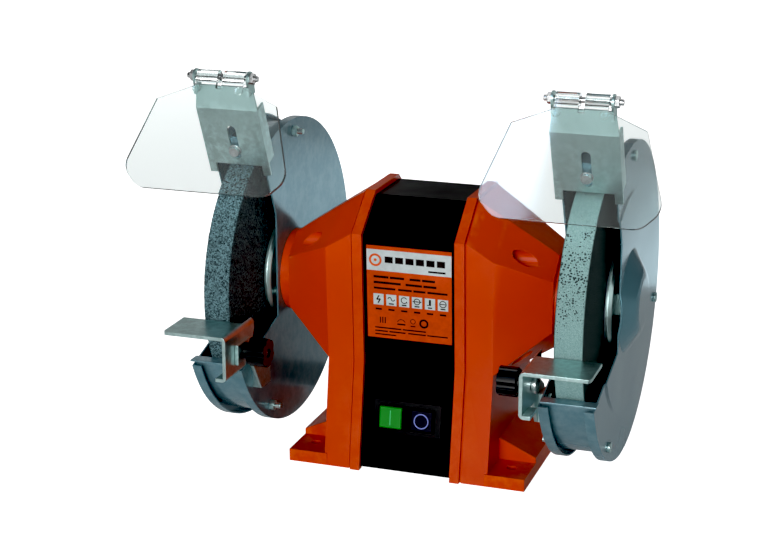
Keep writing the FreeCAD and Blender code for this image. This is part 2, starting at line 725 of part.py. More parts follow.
def wheel_flange(back, face):
    """A dished flange: only its outer ring presses on the wheel's washer.

    `back` is the plane of its outer side and `face` the plane that faces the wheel."""
    inward = f"({face} + ({back} - {face}) * flange_relief / flange_thick)"
    return turned([(back, "wheel_bore"), (back, "flange_radius - flange_edge"),
                   (f"({back} + {face}) / 2", "flange_radius"), (face, "flange_radius"),
                   (face, "flange_radius - flange_rim"),
                   (inward, "flange_radius - flange_rim - flange_edge"), (inward, "wheel_bore")])


def inner_flange():
    """The inner flange stands on a hub that seats on the shaft's shoulder."""
    hub = turned([("flange_seat", "wheel_bore"), ("flange_in + flange_relief", "wheel_bore"),
                  ("flange_in + flange_relief", "flange_hub_radius"),
                  ("flange_seat", "flange_hub_radius")])
    return fuse([wheel_flange("flange_in", "(wheel_in - washer_thick)"), hub])


def wheel_washers():
    """Card washers between the wheel and its flanges."""
    discs = []
    for start in ("wheel_in - washer_thick", "wheel_out"):
        discs.append(turned([(start, "wheel_bore"), (f"{start} + washer_thick", "wheel_bore"),
                             (f"{start} + washer_thick", "washer_radius"),
                             (start, "washer_radius")]))
    return group(discs)


def wheel_nut():
    bore = rod("wheel_bore - slip_gap", "3 * nut_thick",
               ("flange_out - nut_thick", "0", "shaft_height"))
    return cut(hexagon("nut_flats", "nut_thick", ("flange_out", "0", "shaft_height")), [bore])


# ---------------------------------------------------------------- wheel guards

def mouth_outline():
    """The open front of a guard, about the shaft: upright, then sloping along the lip."""
    back = "(bracket_low_y - (bracket_sheet + mouth_gap) / cos(lean) - mouth_y)"
    corner = f"(bracket_low - {back} / tan(lean) - shaft_height)"
    reach = "2 * guard_radius"
    lip = ("-guard_radius * cos(lip_angle)", "-guard_radius * sin(lip_angle)")
    far_lip = ("-2 * guard_radius * cos(lip_angle)", "-2 * guard_radius * sin(lip_angle)")
    return [("-mouth_y", "mouth_low - shaft_height"), ("-mouth_y", corner),
            (f"-mouth_y - {reach} * sin(lean)", f"{corner} + {reach} * cos(lean)"),
            (f"-{reach} - mouth_y", f"{corner} + {reach} * cos(lean)"),
            (f"-{reach} - mouth_y", far_lip[1]), far_lip, lip]


def open_mouth(body):
    made = pocket(body, sketch(body, "YZ_Plane", [mouth_outline()]), "4 * wheel_plane")
    made.Midplane = True
    return body


def bolt_places():
    """The three bolts round the rim of a guard, about the shaft."""
    for angle in GUARD_BOLT_ANGLES:
        yield f"guard_bolt_circle * cos({angle})", f"guard_bolt_circle * sin({angle})"


def bolt_holes(body):
    drawn = circles(body, "YZ_Plane", [(y, z, "guard_bolt + slip_gap")
                                       for y, z in bolt_places()])
    made = pocket(body, drawn, "4 * wheel_plane")
    made.Midplane = True
    return body


def guard_plate():
    """Inner guard plate: a shallow pan on the end of the bell's hub."""
    body = turned([("guard_in", "plate_hole"), ("guard_in", "guard_radius"),
                   ("guard_in + guard_rim", "guard_radius"),
                   ("guard_in + guard_rim", "guard_radius - sheet"),
                   ("guard_in + sheet", "guard_radius - sheet"),
                   ("guard_in + sheet", "plate_hole")])
    screws = [(y, f"{z} - shaft_height", "mount_screw")
              for y, z in list(mount_places()) + list(arm_screw_places())]
    made = pocket(body, circles(body, "YZ_Plane", screws), "4 * wheel_plane")
    made.Midplane = True
    return bolt_holes(open_mouth(body))


def guard_cover():
    """Outer guard cover, domed over the shaft nut and lightly embossed."""
    outer = [("guard_out + dome_rise", "0"), ("guard_out + dome_rise", "dome_crown"),
             ("guard_out + emboss", "dome_radius"),
             ("guard_out + emboss", "emboss_radius"),
             ("guard_out", "emboss_radius + 2 * emboss"), ("guard_out", "guard_radius"),
             ("guard_out - guard_rim", "guard_radius")]
    inner = [("guard_out - guard_rim", "guard_radius - sheet"),
             ("guard_out - sheet", "guard_radius - sheet"),
             ("guard_out - sheet", "emboss_radius + 2 * emboss"),
             ("guard_out + emboss - sheet", "emboss_radius"),
             ("guard_out + emboss - sheet", "dome_radius - sheet / 2"),
             ("guard_out + dome_rise - sheet", "dome_crown - sheet / 2"),
             ("guard_out + dome_rise - sheet", "0")]
    body = turned(outer + inner)
    round_off(body, "dome_round", lambda edge: is_ring(edge, "dome_crown"))
    round_off(body, "dome_round - sheet", lambda edge: is_ring(edge, "dome_crown - sheet / 2"))
    return bolt_holes(open_mouth(body))


def is_ring(edge, radius):
    """A whole or part circle of that radius round the wheel's axis."""
    curve = getattr(edge, "Curve", None)
    return curve.TypeId == "Part::GeomCircle" and abs(curve.Radius - number(radius)) < 0.01


def guard_band():
    """Band round the wheel between the two plates, with a lip below and a brow above."""
    start, end = "guard_in + sheet", "guard_out - sheet"
    body = turned([(start, "band_radius - sheet"), (end, "band_radius - sheet"),
                   (end, "band_radius"), (start, "band_radius")])
    open_mouth(body)
    front = "band_radius * cos(lip_angle) + lip_nose"
    lip = box((f"{end} - {start}", "lip_depth", "sheet"),
              (start, f"-({front})",
               "shaft_height - band_radius * sin(lip_angle) + sheet / 2"))
    return fuse([body, lip, brow()])


def brow():
    """Flange at the top of the band that the shield bracket is bolted to."""
    body = new_body()
    outline = [("wheel_plane - brow_half", "brow_low"), ("wheel_plane + brow_half", "brow_low"),
               ("wheel_plane + brow_half", "brow_high"),
               ("wheel_plane - brow_half", "brow_high")]
    start = "-(bracket_sheet + slide_gap)"
    pad(body, sketch(body, "XZ_Plane", [outline], start), "sheet", reverse=True)
    hole = circles(body, "XZ_Plane", [("wheel_plane", "slot_bolt", "slot_bolt_radius")])
    pocket(body, hole, "4 * bracket_wing", reverse=False)
    return on_bracket(body)


def on_bracket(piece):
    """Seat a piece on the leaning front face of the shield bracket."""
    return tilt(piece, "lean", ("0", "-bracket_low_y", "bracket_low"))


def guard_bolts():
    """Through bolts with round heads outside and nuts on the motor side."""
    bolts = []
    for y, z in bolt_places():
        middle = (y, f"{z} + shaft_height")
        shank = rod("guard_bolt", "guard_out - guard_in + guard_bolt_end",
                    ("guard_in - guard_bolt_end", *middle))
        head = rod("guard_head", "guard_bolt", ("guard_out", *middle))
        nut = hexagon("guard_nut_flats", "guard_nut_thick",
                      ("guard_in - guard_nut_thick", *middle))
        bolts.append(fuse([shank, head, nut]))
    return group(bolts)


def guard_screws():
    """Pan-head screws that hold the inner plate to the hub and the rest arm to the plate."""
    screws = []
    for y, z in mount_places():
        shank = rod("mount_screw", "guard_in + sheet - bell_length",
                    ("bell_length", y, z))
        head = rod("2 * mount_screw", "mount_screw", ("guard_in + sheet", y, z))
        screws.append(fuse([shank, head]))
    for y, z in arm_screw_places():
        shank = rod("mount_screw", "guard_in + sheet - arm_in", ("arm_in", y, z))
        head = rod("2 * mount_screw", "mount_screw", ("guard_in + sheet", y, z))
        screws.append(fuse([shank, head]))
    return group(screws)


# ---------------------------------------------------------------- shield bracket and shield

def shield_bracket():
    """Bent sheet bracket: slotted and notched below, winged, with two hinge ears above."""
    half = "bracket_width / 2"
    body = new_body()
    notch = "notch_width / 2"
    outline = [(f"wheel_plane - {half}", "0"), (f"wheel_plane - {notch}", "0"),
               (f"wheel_plane - {notch}", "notch_deep"),
               (f"wheel_plane + {notch}", "notch_deep"), (f"wheel_plane + {notch}", "0"),
               (f"wheel_plane + {half}", "0"), (f"wheel_plane + {half}", "bracket_slope"),
               (f"wheel_plane - {half}", "bracket_slope")]
    pad(body, sketch(body, "XZ_Plane", [outline]), "bracket_sheet", reverse=True)
    for side in (-1, 1):
        near = f"wheel_plane + {side} * {half}"
        far = f"wheel_plane + {side} * ({half} - bracket_sheet)"
        wing = [(near, "wing_low"), (far, "wing_low"), (far, "bracket_slope"),
                (near, "bracket_slope")]
        pad(body, sketch(body, "XZ_Plane", [wing]), "bracket_wing", reverse=True)
    slot_half = "slot_width / 2"
    low, high = f"slot_start + {slot_half}", f"slot_start + slot_length - {slot_half}"
    middle = [(f"wheel_plane - {slot_half}", low), (f"wheel_plane + {slot_half}", low),
              (f"wheel_plane + {slot_half}", high), (f"wheel_plane - {slot_half}", high)]
    for drawn in (sketch(body, "XZ_Plane", [middle]),
                  circles(body, "XZ_Plane", [("wheel_plane", low, slot_half)]),
                  circles(body, "XZ_Plane", [("wheel_plane", high, slot_half)])):
        pocket(body, drawn, "bracket_sheet")
    on_bracket(body)
    return fuse([body, bracket_head()] + [bracket_ear(side) for side in (-1, 1)])


CREASE = ("0", "-crease_y", "crease_z")


def bracket_head():
    """The tapered upper part of the bracket, bent more upright at the crease."""
    body = new_body()
    top = "head_length - head_gap"
    outline = [("wheel_plane - bracket_width / 2", "-bend_lap"),
               ("wheel_plane + bracket_width / 2", "-bend_lap"),
               ("wheel_plane + bracket_top_width / 2", top),
               ("wheel_plane - bracket_top_width / 2", top)]
    pad(body, sketch(body, "XZ_Plane", [outline]), "bracket_sheet", reverse=True)
    return tilt(body, "head_lean", CREASE)


def bracket_ear(side):
    """A hinge ear at one end of the rod, joined to the edge of the bracket's head."""
    body = new_body()
    outer = f"wheel_plane + {side} * bracket_top_width / 2"
    inner = f"wheel_plane + {side} * (bracket_top_width / 2 - bracket_sheet)"
    low = "head_length - head_gap - ear_radius"
    arm = [(outer, low), (inner, low),
           (inner, "head_length"), (outer, "head_length")]
    made = pad(body, sketch(body, "XZ_Plane", [arm]), "2 * ear_radius")
    made.Midplane = True
    tilt(body, "head_lean", CREASE)
    left = inner if side > 0 else outer
    eye = rod("ear_radius", "bracket_sheet", (left, "-hinge_y", "hinge_z"))
    bore = rod("rod_radius", "2 * bracket_width", ("wheel_plane - bracket_width",
                                                   "-hinge_y", "hinge_z"))
    return cut(fuse([body, eye]), [bore])


def hinge_rod():
    """Hinge rod with a nut outside each ear of the bracket."""
    parts = [rod("rod_radius", "rod_length", ("wheel_plane - rod_length / 2", "-hinge_y",
                                              "hinge_z"))]
    for start in ("wheel_plane + bracket_top_width / 2",
                  "wheel_plane - bracket_top_width / 2 - rod_nut_thick"):
        parts.append(hexagon("rod_nut", "rod_nut_thick", (start, "-hinge_y", "hinge_z")))
    return fuse(parts)


def slot_bolt():
    """Bolt, washer and nut that clamp the shield bracket to the brow of the guard."""
    front = "-(washer_sheet + slide_gap)"
    back = "bracket_sheet + slide_gap + sheet"
    pieces = []
    for kind, size, start, end in (
            (rod, "1.8 * slot_bolt_radius", front, "-slide_gap"),
            (rod, "1.5 * slot_bolt_radius", f"{front} - slot_bolt_radius", front),
            (rod, "slot_bolt_radius", front, f"{back} + 2 * slot_bolt_radius"),
            (hexagon, "3.3 * slot_bolt_radius", back, f"{back} + 1.5 * slot_bolt_radius")):
        y = f"-bracket_low_y + ({start}) * cos(lean) - slot_bolt * sin(lean)"
        z = f"bracket_low + ({start}) * sin(lean) + slot_bolt * cos(lean)"
        axis = FreeCAD.Vector(0, math.cos(math.radians(SIZES["lean"])),
                              math.sin(math.radians(SIZES["lean"])))
        pieces.append(kind(size, f"({end}) - ({start})", ("wheel_plane", y, z), axis))
    return fuse(pieces)


def eye_shield():
    """Clear shield with two moulded knuckles that turn on the hinge rod."""
    body = new_body()
    half = [("knuckle_end", "-shield_neck"),
            ("shield_top_half", "-shield_top_drop"),
            ("shield_low_half", "-shield_drop + shield_chin"),
            ("shield_low_half - shield_chin", "-shield_drop")]
    right = [("wheel_plane + knuckle_end", "-knuckle_radius / 4")]
    right += [(f"wheel_plane + ({x})", z) for x, z in half]
    left = [(f"wheel_plane - ({x})", z) for x, z in reversed(half)]
    left += [("wheel_plane - knuckle_end", "-knuckle_radius / 4")]
    gap = [("wheel_plane - knuckle_start", "-knuckle_radius / 4"),
           ("wheel_plane - knuckle_start", "-shield_neck - shield_fall / 2"),
           ("wheel_plane + knuckle_start", "-shield_neck - shield_fall / 2"),
           ("wheel_plane + knuckle_start", "-knuckle_radius / 4")]
    pad(body, sketch(body, "XZ_Plane", [right + left + gap], "knuckle_radius"),
        "shield_thick", reverse=True)
    round_off(body, "shield_chin - part_gap", lambda edge: is_chin(edge))
    tilt(body, "-shield_tilt", ("0", "-hinge_y", "hinge_z"))
    knuckles = []
    for start in ("wheel_plane + knuckle_start", "wheel_plane - knuckle_end"):
        knuckles.append(rod("knuckle_radius", "knuckle_end - knuckle_start",
                            (start, "-hinge_y", "hinge_z")))
    bore = rod("rod_radius + slip_gap", "rod_length",
               ("wheel_plane - rod_length / 2", "-hinge_y", "hinge_z"))
    return cut(fuse([body] + knuckles), [bore])


def is_chin(edge):
    """The short edges across the sheet at the four corners of the shield's chin."""
    box_of = edge.BoundBox
    crosses = box_of.YLength > 0.9 * number("shield_thick") and box_of.ZLength < 0.1
    return crosses and box_of.ZMax < number("-shield_drop + shield_chin") + 0.1


# ---------------------------------------------------------------- tool rest

def tool_rest():
    """L-shaped rest: a table in front of the wheel on a slotted leg beside it."""
    body = new_body()
    low = "rest_top - rest_sheet"
    profile = [("rest_leg", "leg_bottom"), ("rest_leg", "rest_top"),
               ("rest_reach", "rest_top"), ("rest_reach", low),
               ("rest_leg + rest_sheet", low), ("rest_leg + rest_sheet", "leg_bottom")]
    pad(body, sketch(body, "XZ_Plane", [profile], "rest_back"), "rest_front - rest_back")
    toe = [("rest_leg", "leg_bottom"), ("rest_leg + rest_toe", "leg_bottom"),
           ("rest_leg + rest_toe", "leg_bottom + rest_sheet"),
           ("rest_leg", "leg_bottom + rest_sheet")]
    pad(body, sketch(body, "XZ_Plane", [toe], "rest_front - toe_length"), "toe_length")
    leg = [("-rest_back - 1", "leg_bottom + rest_toe"), ("-rest_back - 1", "rest_top"),
           ("-leg_back", "rest_top"), ("-leg_back", "rest_top - rest_toe"),
           ("-rest_back + rest_toe", "leg_bottom + rest_toe")]
    pad(body, sketch(body, "YZ_Plane", [leg], "rest_leg"), "rest_sheet")
    corner = [("rest_reach", "-rest_front"), ("rest_reach - rest_corner / 2", "-rest_front"),
              ("rest_reach", "-rest_front + rest_corner")]
    pocket(body, sketch(body, "XY_Plane", [corner], "rest_top"), "2 * rest_sheet")
    bend = "rest_sheet + 1"
    round_off(body, bend, lambda edge: is_bend(edge, "rest_leg"))
    slot_half = "(rest_bolt_radius + part_gap)"
    start = f"-rest_bolt_y + slot_shift - rest_slot / 2 + {slot_half}"
    end = f"-rest_bolt_y + slot_shift + rest_slot / 2 - {slot_half}"
    middle = [(start, f"rest_bolt_z - {slot_half}"), (end, f"rest_bolt_z - {slot_half}"),
              (end, f"rest_bolt_z + {slot_half}"), (start, f"rest_bolt_z + {slot_half}")]
    for drawn in (sketch(body, "YZ_Plane", [middle], "rest_leg"),
                  circles(body, "YZ_Plane", [(start, "rest_bolt_z", slot_half)], "rest_leg"),
                  circles(body, "YZ_Plane", [(end, "rest_bolt_z", slot_half)], "rest_leg")):
        pocket(body, drawn, "rest_sheet", reverse=True)
    return body


def is_bend(edge, x_plane):
    """The long edge where the rest's leg turns into its table or its toe."""
    around = edge.BoundBox
    along = around.YLength > 0.5 * number("rest_front - rest_back")
    on_plane = abs(around.XMax - number(x_plane)) < 0.01 and around.XLength < 0.01
    return along and on_plane and around.ZLength < 0.01


def arm_screw_places():
    for height in ("arm_foot_low + arm_screw", "arm_foot_low + arm_foot_high - arm_screw"):
        yield "-arm_foot_mid", height


def rest_arm():
    """Steel arm on the motor side of the guard that carries the tool rest."""
    body = new_body()
    low, high = "rest_bolt_z - arm_half", "rest_bolt_z + arm_half"
    front, back = "-arm_foot_mid - arm_foot_half", "-arm_foot_mid + arm_foot_half"
    outline = [("-rest_bolt_y - arm_tip", low), ("-rest_bolt_y - arm_tip", high),
               ("-rest_bolt_y + arm_shoulder", high),
               (back, "arm_foot_low + arm_foot_high + arm_neck"), (back, "arm_foot_low"),
               (front, "arm_foot_low"), ("-rest_bolt_y + arm_foot_half", low)]
    pad(body, sketch(body, "YZ_Plane", [outline], "arm_in"), "arm_sheet")
    foot = [(front, "arm_foot_low"), (back, "arm_foot_low"),
            (back, "arm_foot_low + arm_foot_high"), (front, "arm_foot_low + arm_foot_high")]
    pad(body, sketch(body, "YZ_Plane", [foot], "arm_in"), "guard_in - arm_in")
    holes = [("-rest_bolt_y", "rest_bolt_z", "rest_bolt_radius")]
    holes += [(y, z, "mount_screw") for y, z in arm_screw_places()]
    drawn = circles(body, "YZ_Plane", holes)
    made = pocket(body, drawn, "4 * wheel_plane")
    made.Midplane = True
    return body


def rest_bolt():
    """Clamp bolt through the arm and the slot of the rest, its head beside the wheel."""
    back = "arm_in - knob_neck_length - knob_length + 1"
    head = "rest_leg + rest_sheet + slide_gap"
    shank = rod("rest_bolt_radius", f"{head} - ({back})", (back, "-rest_bolt_y",
                                                           "rest_bolt_z"))
    top = rod("rest_head", "rest_head_thick", (head, "-rest_bolt_y", "rest_bolt_z"))
    return fuse([shank, top])


def rest_knob():
    """Lobed clamping knob on the motor side of the rest arm."""
    face = "(arm_in - part_gap)"
    neck_end = f"({face} - knob_neck_length)"
    end = f"({neck_end} - knob_length)"
    middle = ("-rest_bolt_y", "rest_bolt_z")
    parts = [rod("knob_neck", "knob_neck_length + 1", (f"{neck_end} - 1", *middle)),
             rod("knob_radius", "knob_length", (end, *middle))]
    cuts = [rod("rest_bolt_radius + slip_gap", "4 * knob_length",
                (f"{end} - knob_length", *middle))]
    reach = "(knob_radius + flute_out)"
    for i in range(KNOB_LOBES):
        angle = 360 * i / KNOB_LOBES
        cuts.append(rod("knob_flute", "knob_length + 1", (
            f"{end} - 1", f"-rest_bolt_y + {reach} * cos({angle})",
            f"rest_bolt_z + {reach} * sin({angle})")))
    return cut(fuse(parts), cuts)


# ---------------------------------------------------------------- assembly

def build():
    bell = end_bell()
    bell_foot(bell)
    bell_cavity(bell)
    bell_fixings(bell)
    pair(bell, "end_bell")
    cover = node(centre_cover(), "centre_cover")
    node(floor_plate(), "floor_plate")
    node(tie_bolts(), "tie_bolts")
    node(label_plate(), "label_plate")
    node(switch_housing(), "switch_housing")
    node(button(-1), "on_button")
    node(button(1), "off_button")
    node(stator_core(), "stator_core")
    node(stator_windings(), "stator_windings")
    node(capacitor(), "capacitor")
    node(capacitor_clip(), "capacitor_clip")
    node(terminal_block(), "terminal_block")
    node(cord_gland(cover), "cord_gland")
    node(shaft(), "shaft")
    node(rotor_core(), "rotor_core")
    node(rotor_rings(), "rotor_rings")
    pair(race("bearing_radius - race_thick", "bearing_radius"), "bearing_outer")
    pair(race("bearing_bore", "bearing_bore + race_thick"), "bearing_inner")
    pair(bearing_balls(), "bearing_balls")
    pair(inner_flange(), "inner_flange")
    pair(wheel(), "wheel")
    pair(wheel_washers(), "wheel_washers")
    pair(wheel_flange("flange_out", "(wheel_out + washer_thick)"), "outer_flange")
    pair(wheel_nut(), "wheel_nut")
    pair(guard_plate(), "guard_plate")
    pair(guard_band(), "guard_band")
    pair(guard_cover(), "guard_cover")
    pair(guard_bolts(), "guard_bolts")
    pair(guard_screws(), "guard_screws")
    pair(shield_bracket(), "shield_bracket")
    pair(hinge_rod(), "hinge_rod")
    pair(slot_bolt(), "slot_bolt")
    pair(eye_shield(), "eye_shield")
    pair(tool_rest(), "tool_rest")
    pair(rest_arm(), "rest_arm")
    pair(rest_bolt(), "rest_bolt")
    pair(rest_knob(), "rest_knob")


def check_and_write():
    """Stop on any failed feature, then write one file for each node."""
    doc.recompute()
    failed = [o.Label for o in doc.Objects if {"Invalid", "Error"} & set(o.State)]
    if failed:
        raise RuntimeError(f"failed features: {failed}")
    for piece in NODES:
        if piece.Shape.isNull() or not piece.Shape.isValid():
            raise RuntimeError(f"bad shape: {piece.Label}")
    os.makedirs("parts", exist_ok=True)
    for piece in NODES:
        piece.Shape.exportStep(f"parts/{piece.Label}.step")
    print(len(NODES), "nodes written")


build()
check_and_write()
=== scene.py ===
# %% [markdown]
# # A bench grinder, dressed for the studio
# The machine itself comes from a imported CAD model: two cast end bells, a black cover, two
# wheels in sheet guards, clear eye shields and tool rests.  This lesson keeps every size of
# that model.  It rounds the corners that a casting or a bent sheet really has, makes the
# wheels gritty, prints the rating plate and gives each surface a finish of its own.

# %% Load the fixed frame
import json
from math import cos, pi, radians, sin

import bpy
from mathutils import Matrix, Vector

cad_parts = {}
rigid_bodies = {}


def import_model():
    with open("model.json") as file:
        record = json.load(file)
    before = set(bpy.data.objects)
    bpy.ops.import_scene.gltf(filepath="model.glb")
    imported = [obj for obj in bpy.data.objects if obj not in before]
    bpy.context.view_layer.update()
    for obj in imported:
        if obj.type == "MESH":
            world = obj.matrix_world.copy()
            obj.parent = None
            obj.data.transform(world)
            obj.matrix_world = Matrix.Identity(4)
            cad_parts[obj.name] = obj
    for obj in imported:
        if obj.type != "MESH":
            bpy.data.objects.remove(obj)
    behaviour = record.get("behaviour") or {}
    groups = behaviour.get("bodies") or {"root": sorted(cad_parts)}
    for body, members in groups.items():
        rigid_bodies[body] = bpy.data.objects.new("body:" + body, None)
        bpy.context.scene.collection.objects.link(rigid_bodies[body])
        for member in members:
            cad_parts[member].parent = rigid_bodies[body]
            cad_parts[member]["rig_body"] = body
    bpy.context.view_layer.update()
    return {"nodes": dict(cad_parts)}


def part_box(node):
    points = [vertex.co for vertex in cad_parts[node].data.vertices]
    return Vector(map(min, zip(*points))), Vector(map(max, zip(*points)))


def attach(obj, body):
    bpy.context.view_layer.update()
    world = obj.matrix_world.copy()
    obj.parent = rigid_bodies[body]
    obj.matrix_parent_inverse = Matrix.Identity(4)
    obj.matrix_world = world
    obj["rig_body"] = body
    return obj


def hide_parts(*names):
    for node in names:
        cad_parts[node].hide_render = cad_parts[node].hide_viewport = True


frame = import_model()
NODES = frame["nodes"]
SIDES = ("left", "right")
MM = 0.001

# %% [markdown]
# ## The view
# The grinder stands on a bench, seen a little from the right and from above.  The camera is
# placed by its azimuth, elevation and distance from a point near the middle of the motor, so
# each of the three can be changed by itself.  A long lens keeps the two wheels alike in size.

# %% Camera
VIEW_AZIMUTH = radians(19.03)
VIEW_ELEVATION = radians(16.77)
VIEW_DISTANCE = 1.26875
VIEW_TARGET = Vector((-0.0319, 0.0, 0.1271))
VIEW_LENS = 80.37

back = Vector((sin(VIEW_AZIMUTH) * cos(VIEW_ELEVATION),
               -cos(VIEW_AZIMUTH) * cos(VIEW_ELEVATION), sin(VIEW_ELEVATION)))
bpy.ops.object.camera_add(location=VIEW_TARGET + back * VIEW_DISTANCE)
camera = bpy.context.object
camera.rotation_euler = back.to_track_quat("Z", "Y").to_euler()
camera.data.lens = VIEW_LENS
bpy.context.scene.camera = camera
print("camera at", tuple(round(v, 3) for v in camera.location))

# %% [markdown]
# ## Tools for the hand
# A few short helpers stand in for clicks.  `only` selects one piece, `edit` opens it,
# `pick_faces` selects faces by a test of their middle and their direction, and `finish_piece`
# names the piece, smooths it, puts it on its body and gives it its finish.

# %% Selecting and editing
def only(piece):
    bpy.ops.object.select_all(action="DESELECT")
    piece.select_set(True)
    bpy.context.view_layer.objects.active = piece
    return piece


def edit(piece):
    only(piece)
    bpy.ops.object.mode_set(mode="EDIT")


def leave():
    bpy.ops.object.mode_set(mode="OBJECT")


def pick_faces(piece, test):
    """Select the faces of an open piece whose middle and normal pass the test."""
    bpy.ops.mesh.select_mode(type="FACE")
    bpy.ops.mesh.select_all(action="DESELECT")
    leave()
    for face in piece.data.polygons:
        face.select = test(face.center, face.normal)
    bpy.ops.object.mode_set(mode="EDIT")


def apply_place(piece):
    """Move a piece's place into its mesh, so that its object sits at the origin."""
    only(piece)
    bpy.ops.object.transform_apply(location=True, rotation=True, scale=True)
    return piece


def apply_all(piece):
    only(piece)
    for modifier in list(piece.modifiers):
        bpy.ops.object.modifier_apply(modifier=modifier.name)
    return piece


def finish_piece(piece, name, body, material, smooth=35):
    """Name a piece, smooth its shallow edges, and fix it to its body and finish."""
    piece.name = name
    piece.data.name = name
    only(piece)
    bpy.ops.object.shade_smooth_by_angle(angle=radians(smooth))
    piece.data.materials.clear()
    piece.data.materials.append(material)
    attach(piece, body)
    return piece


# %% [markdown]
# ## Shared surface effects
# Most finishes here are made of the same few things: a fine grain, worn edges, painted shade in
# the recesses and soft clouding.  Each is a node group with named inputs and outputs, built once.
# The groups give out only masks, colours and heights.  The shader itself stays in each material.

# %% Node helpers
def add(tree, kind, **settings):
    """A node of that kind; settings name its properties or, in capitals, its inputs."""
    made = tree.nodes.new(kind)
    for key, value in settings.items():
        if key[0].isupper():
            made.inputs[key.replace("_", " ")].default_value = value
        else:
            setattr(made, key, value)
    return made


def wire(tree, start, end):
    tree.links.new(start, end)


def new_group(name, inputs, outputs):
    """An empty group with its sockets; returns its tree, its input and its output node."""
    tree = bpy.data.node_groups.new(name, "ShaderNodeTree")
    for label, kind, value in inputs:
        socket = tree.interface.new_socket(label, in_out="INPUT", socket_type=kind)
        if value is not None:
            socket.default_value = value
    for label, kind in outputs:
        tree.interface.new_socket(label, in_out="OUTPUT", socket_type=kind)
    return tree, tree.nodes.new("NodeGroupInput"), tree.nodes.new("NodeGroupOutput")


def noise(tree, vector, scale, detail=4.0, rough=0.5):
    made = add(tree, "ShaderNodeTexNoise", Detail=detail, Roughness=rough)
    wire(tree, vector, made.inputs["Vector"])
    if isinstance(scale, (int, float)):
        made.inputs["Scale"].default_value = scale
    else:
        wire(tree, scale, made.inputs["Scale"])
    return made.outputs["Fac"]


def remap(tree, value, low, high, to_low=0.0, to_high=1.0):
    made = add(tree, "ShaderNodeMapRange", clamp=True)
    for socket, number in zip(made.inputs[1:5], (low, high, to_low, to_high)):
        socket.default_value = number
    wire(tree, value, made.inputs["Value"])
    return made.outputs["Result"]


def maths(tree, operation, first, second):
    made = add(tree, "ShaderNodeMath", operation=operation)
    for socket, value in zip(made.inputs, (first, second)):
        if isinstance(value, (int, float)):
            socket.default_value = value
        else:
            wire(tree, value, socket)
    return made.outputs[0]


# %% Group: clouding and grain
def clouding_group():
    """Soft large patches and a fine grain, for paint, plastic and film."""
    tree, given, out = new_group(
        "clouding", [("Patch Scale", "NodeSocketFloat", 9.0), ("Grain Scale", "NodeSocketFloat", 900.0)],
        [("Patches", "NodeSocketFloat"), ("Grain", "NodeSocketFloat")])
    place = add(tree, "ShaderNodeTexCoord").outputs["Object"]
    wire(tree, noise(tree, place, given.outputs["Patch Scale"], 3.0), out.inputs["Patches"])
    wire(tree, noise(tree, place, given.outputs["Grain Scale"], 2.0), out.inputs["Grain"])
    return tree


# %% Group: worn edges
def wear_and_shade_group():
    """Masks of the outer edges, broken up so that rubbing comes and goes, and of the recesses, for painted
    shade.
    """
    tree, given, out = new_group(
        "worn_edges_and_recess_shade", [("Width", "NodeSocketFloat", 0.5), ("Break Scale", "NodeSocketFloat", 120.0)],
        [("Edge", "NodeSocketFloat"), ("Recess Shade", "NodeSocketFloat")])
    place = add(tree, "ShaderNodeTexCoord").outputs["Object"]
    point = add(tree, "ShaderNodeNewGeometry").outputs["Pointiness"]
    broken = noise(tree, place, given.outputs["Break Scale"], 6.0, 0.7)
    edge = remap(tree, point, 0.51, 0.58)
    edge = maths(tree, "MULTIPLY", edge, remap(tree, broken, 0.42, 0.62))
    wire(tree, maths(tree, "MULTIPLY", edge, given.outputs["Width"]), out.inputs["Edge"])
    # The recess mask is painted shade: finishes darken their colour where it is high.
    wire(tree, remap(tree, point, 0.49, 0.42), out.inputs["Recess Shade"])
    return tree


# %% Group: drawn streaks
def streak_group():
    """Fine lines along one direction, as rolling and drawing leave them in sheet steel."""
    tree, given, out = new_group(
        "drawn_streaks", [("Stretch", "NodeSocketVector", (1.0, 1.0, 1.0)),
                          ("Scale", "NodeSocketFloat", 60.0)],
        [("Streaks", "NodeSocketFloat"), ("Spangle", "NodeSocketFloat")])
    place = add(tree, "ShaderNodeTexCoord").outputs["Object"]
    scaled = add(tree, "ShaderNodeVectorMath", operation="MULTIPLY")
    wire(tree, place, scaled.inputs[0])
    wire(tree, given.outputs["Stretch"], scaled.inputs[1])
    wire(tree, noise(tree, scaled.outputs[0], given.outputs["Scale"], 5.0, 0.6),
         out.inputs["Streaks"])
    flakes = add(tree, "ShaderNodeTexVoronoi", Scale=240.0)
    wire(tree, place, flakes.inputs["Vector"])
    grey = add(tree, "ShaderNodeSeparateColor")
    wire(tree, flakes.outputs["Color"], grey.inputs[0])
    wire(tree, grey.outputs[0], out.inputs["Spangle"])
    return tree


